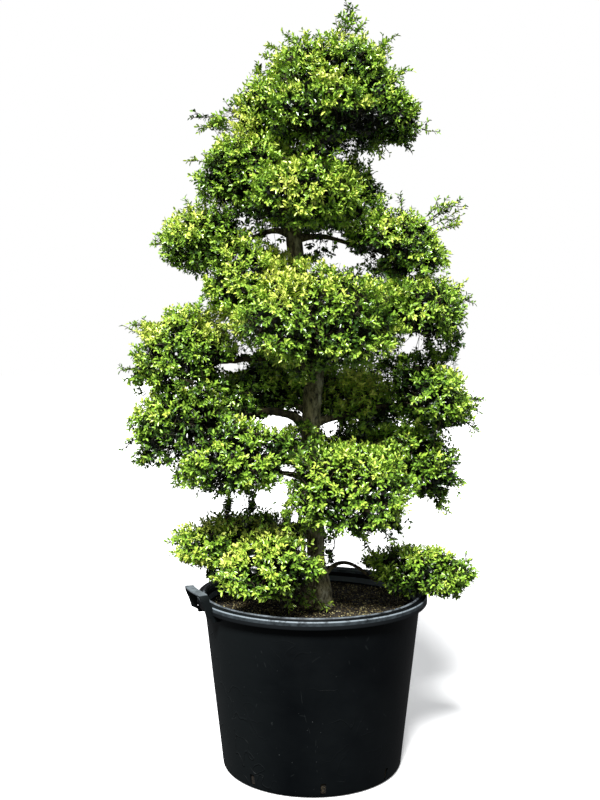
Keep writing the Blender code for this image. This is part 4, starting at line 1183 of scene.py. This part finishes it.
for space in spaces:
    growMass(space)
    for tip in space.plan.get("wild", ()):
        growWild(space, tip)
growFillers()

offsets = np.cumsum([0] + [len(places) for places, _ in stemParts])
corners = np.concatenate([places for places, _ in stemParts])
quads = np.concatenate([faces + offset for (_, faces), offset in zip(stemParts, offsets)])
most = growth["mostFaces"]
for part in range(0, len(quads), most):
    used, renumbered = np.unique(quads[part:part + most], return_inverse=True)
    quadPiece(f"twigs_{part // most}", corners[used], renumbered.reshape(-1, 4), twigPaint, "foliage")
print(len(quads) * 2, "triangles of twigs")

for name, roughness in zip(tintNames, leafRoughness):
    paint = tintedGrain(name, leafTints[name], roughness, 0.1 if name == "leafShade" else 0.45)
    roots, heading, face, length = (np.concatenate(part) for part in zip(*leafParts[name]))
    plain = name in plainLeaves
    build, most = (kiteMesh if plain else leafMesh), growth["mostFaces"] // (1 if plain else 2)
    for start in range(0, len(roots), most):
        block = slice(start, start + most)
        corners, quads = build(roots[block], heading[block], face[block], length[block])
        nodes = masses if name == tintNames[0] and start == 0 else ()
        quadPiece(f"{name}_{start // most}", corners, quads, paint, "foliage", *nodes)
    print(name, len(roots), "leaves")


# Compost with chips on it
soil = dict(level=pot["soilLevel"], gap=0.0008, rings=70, steps=190, mound=0.010, moundWidth=0.07, chips=6400,
            chipSize=(0.0028, 0.0085), chipShares=dict(straw=0.28, tan=0.32, umber=0.40))
soilEdge = innerRadius(soil["level"]) - soil["gap"]


def soilHeight(x, y):
    place = Vector((x, y, 0))
    height = 0.004 * noise.noise(place * 14) + 0.0022 * noise.noise(place * 55)
    near = math.hypot(x - trunkPath[0][1], y - trunkPath[0][2])
    height += soil["mound"] * math.exp(-(near / soil["moundWidth"]) ** 2)
    return soil["level"] - 0.002 + height


def buildSoil():
    bottom = pot["wall"] + 0.0004
    wall = [(innerRadius(z) - soil["gap"], z) for z in (0.012, 0.05, 0.2, 0.35)]
    profile = [(0, bottom), (wall[0][0] - 0.006, bottom), *wall, (soilEdge, soil["level"] - 0.004)]
    profile += [(soilEdge * i / soil["rings"], soil["level"]) for i in range(soil["rings"], -1, -1)]
    bm = turned(profile, soil["steps"])
    for vert in bm.verts:
        if vert.co.z > soil["level"] - 0.001:
            vert.co.z = soilHeight(vert.co.x, vert.co.y) + 0.0012 * noise.noise(vert.co * 210)
    pieceFrom(bm, "compost", compostPaint, "soil", "soil")


def scatterChips():
    chance = np.random.default_rng(11)
    cube = np.array([(x, y, z) for x in (-1, 1) for y in (-1, 1) for z in (-1, 1)], float)
    cubeQuads = np.array([(0, 1, 3, 2), (4, 6, 7, 5), (0, 4, 5, 1), (2, 3, 7, 6), (0, 2, 6, 4), (1, 5, 7, 3)])
    for name, share in soil["chipShares"].items():
        count = int(soil["chips"] * share)
        radius = (soilEdge - 0.006) * np.sqrt(chance.random(count))
        turn = chance.uniform(0, math.tau, count)
        x, y = radius * np.cos(turn), radius * np.sin(turn)
        size = chance.uniform(*soil["chipSize"], count) * (0.75 if name == "straw" else 1.0)
        shape = size[:, None] / 2 * np.stack([np.ones(count), chance.uniform(0.35, 0.8, count),
                                              chance.uniform(0.15, 0.4, count)], axis=1)
        points = cube[None] * (1 - 0.35 * chance.random((count, 8, 1))) * shape[:, None]
        axisA = unitRows(np.stack([np.cos(turn * 7), np.sin(turn * 7), chance.normal(0, 0.3, count)], axis=1))
        axisC = chance.normal(0, 0.35, (count, 3)) + np.array((0, 0, 1))
        axisB = unitRows(np.cross(axisC, axisA))
        axisC = np.cross(axisA, axisB)
        place = np.stack([x, y, [soilHeight(a, b) for a, b in zip(x, y)]], axis=1)
        place[:, 2] += shape[:, 2] * 0.6 + chance.uniform(-0.0006, 0.0022, count)
        points = place[:, None] + (points[..., :1] * axisA[:, None] + points[..., 1:2] * axisB[:, None]
                                   + points[..., 2:] * axisC[:, None])
        quads = (cubeQuads[None] + np.arange(count)[:, None, None] * 8).reshape(-1, 4)
        paint = tintedGrain("chip_" + name, chipTints[name], 0.9)
        quadPiece("chips_" + name, points.reshape(-1, 3), quads, paint, "soil")


buildSoil()
scatterChips()
print("the compost is filled in")
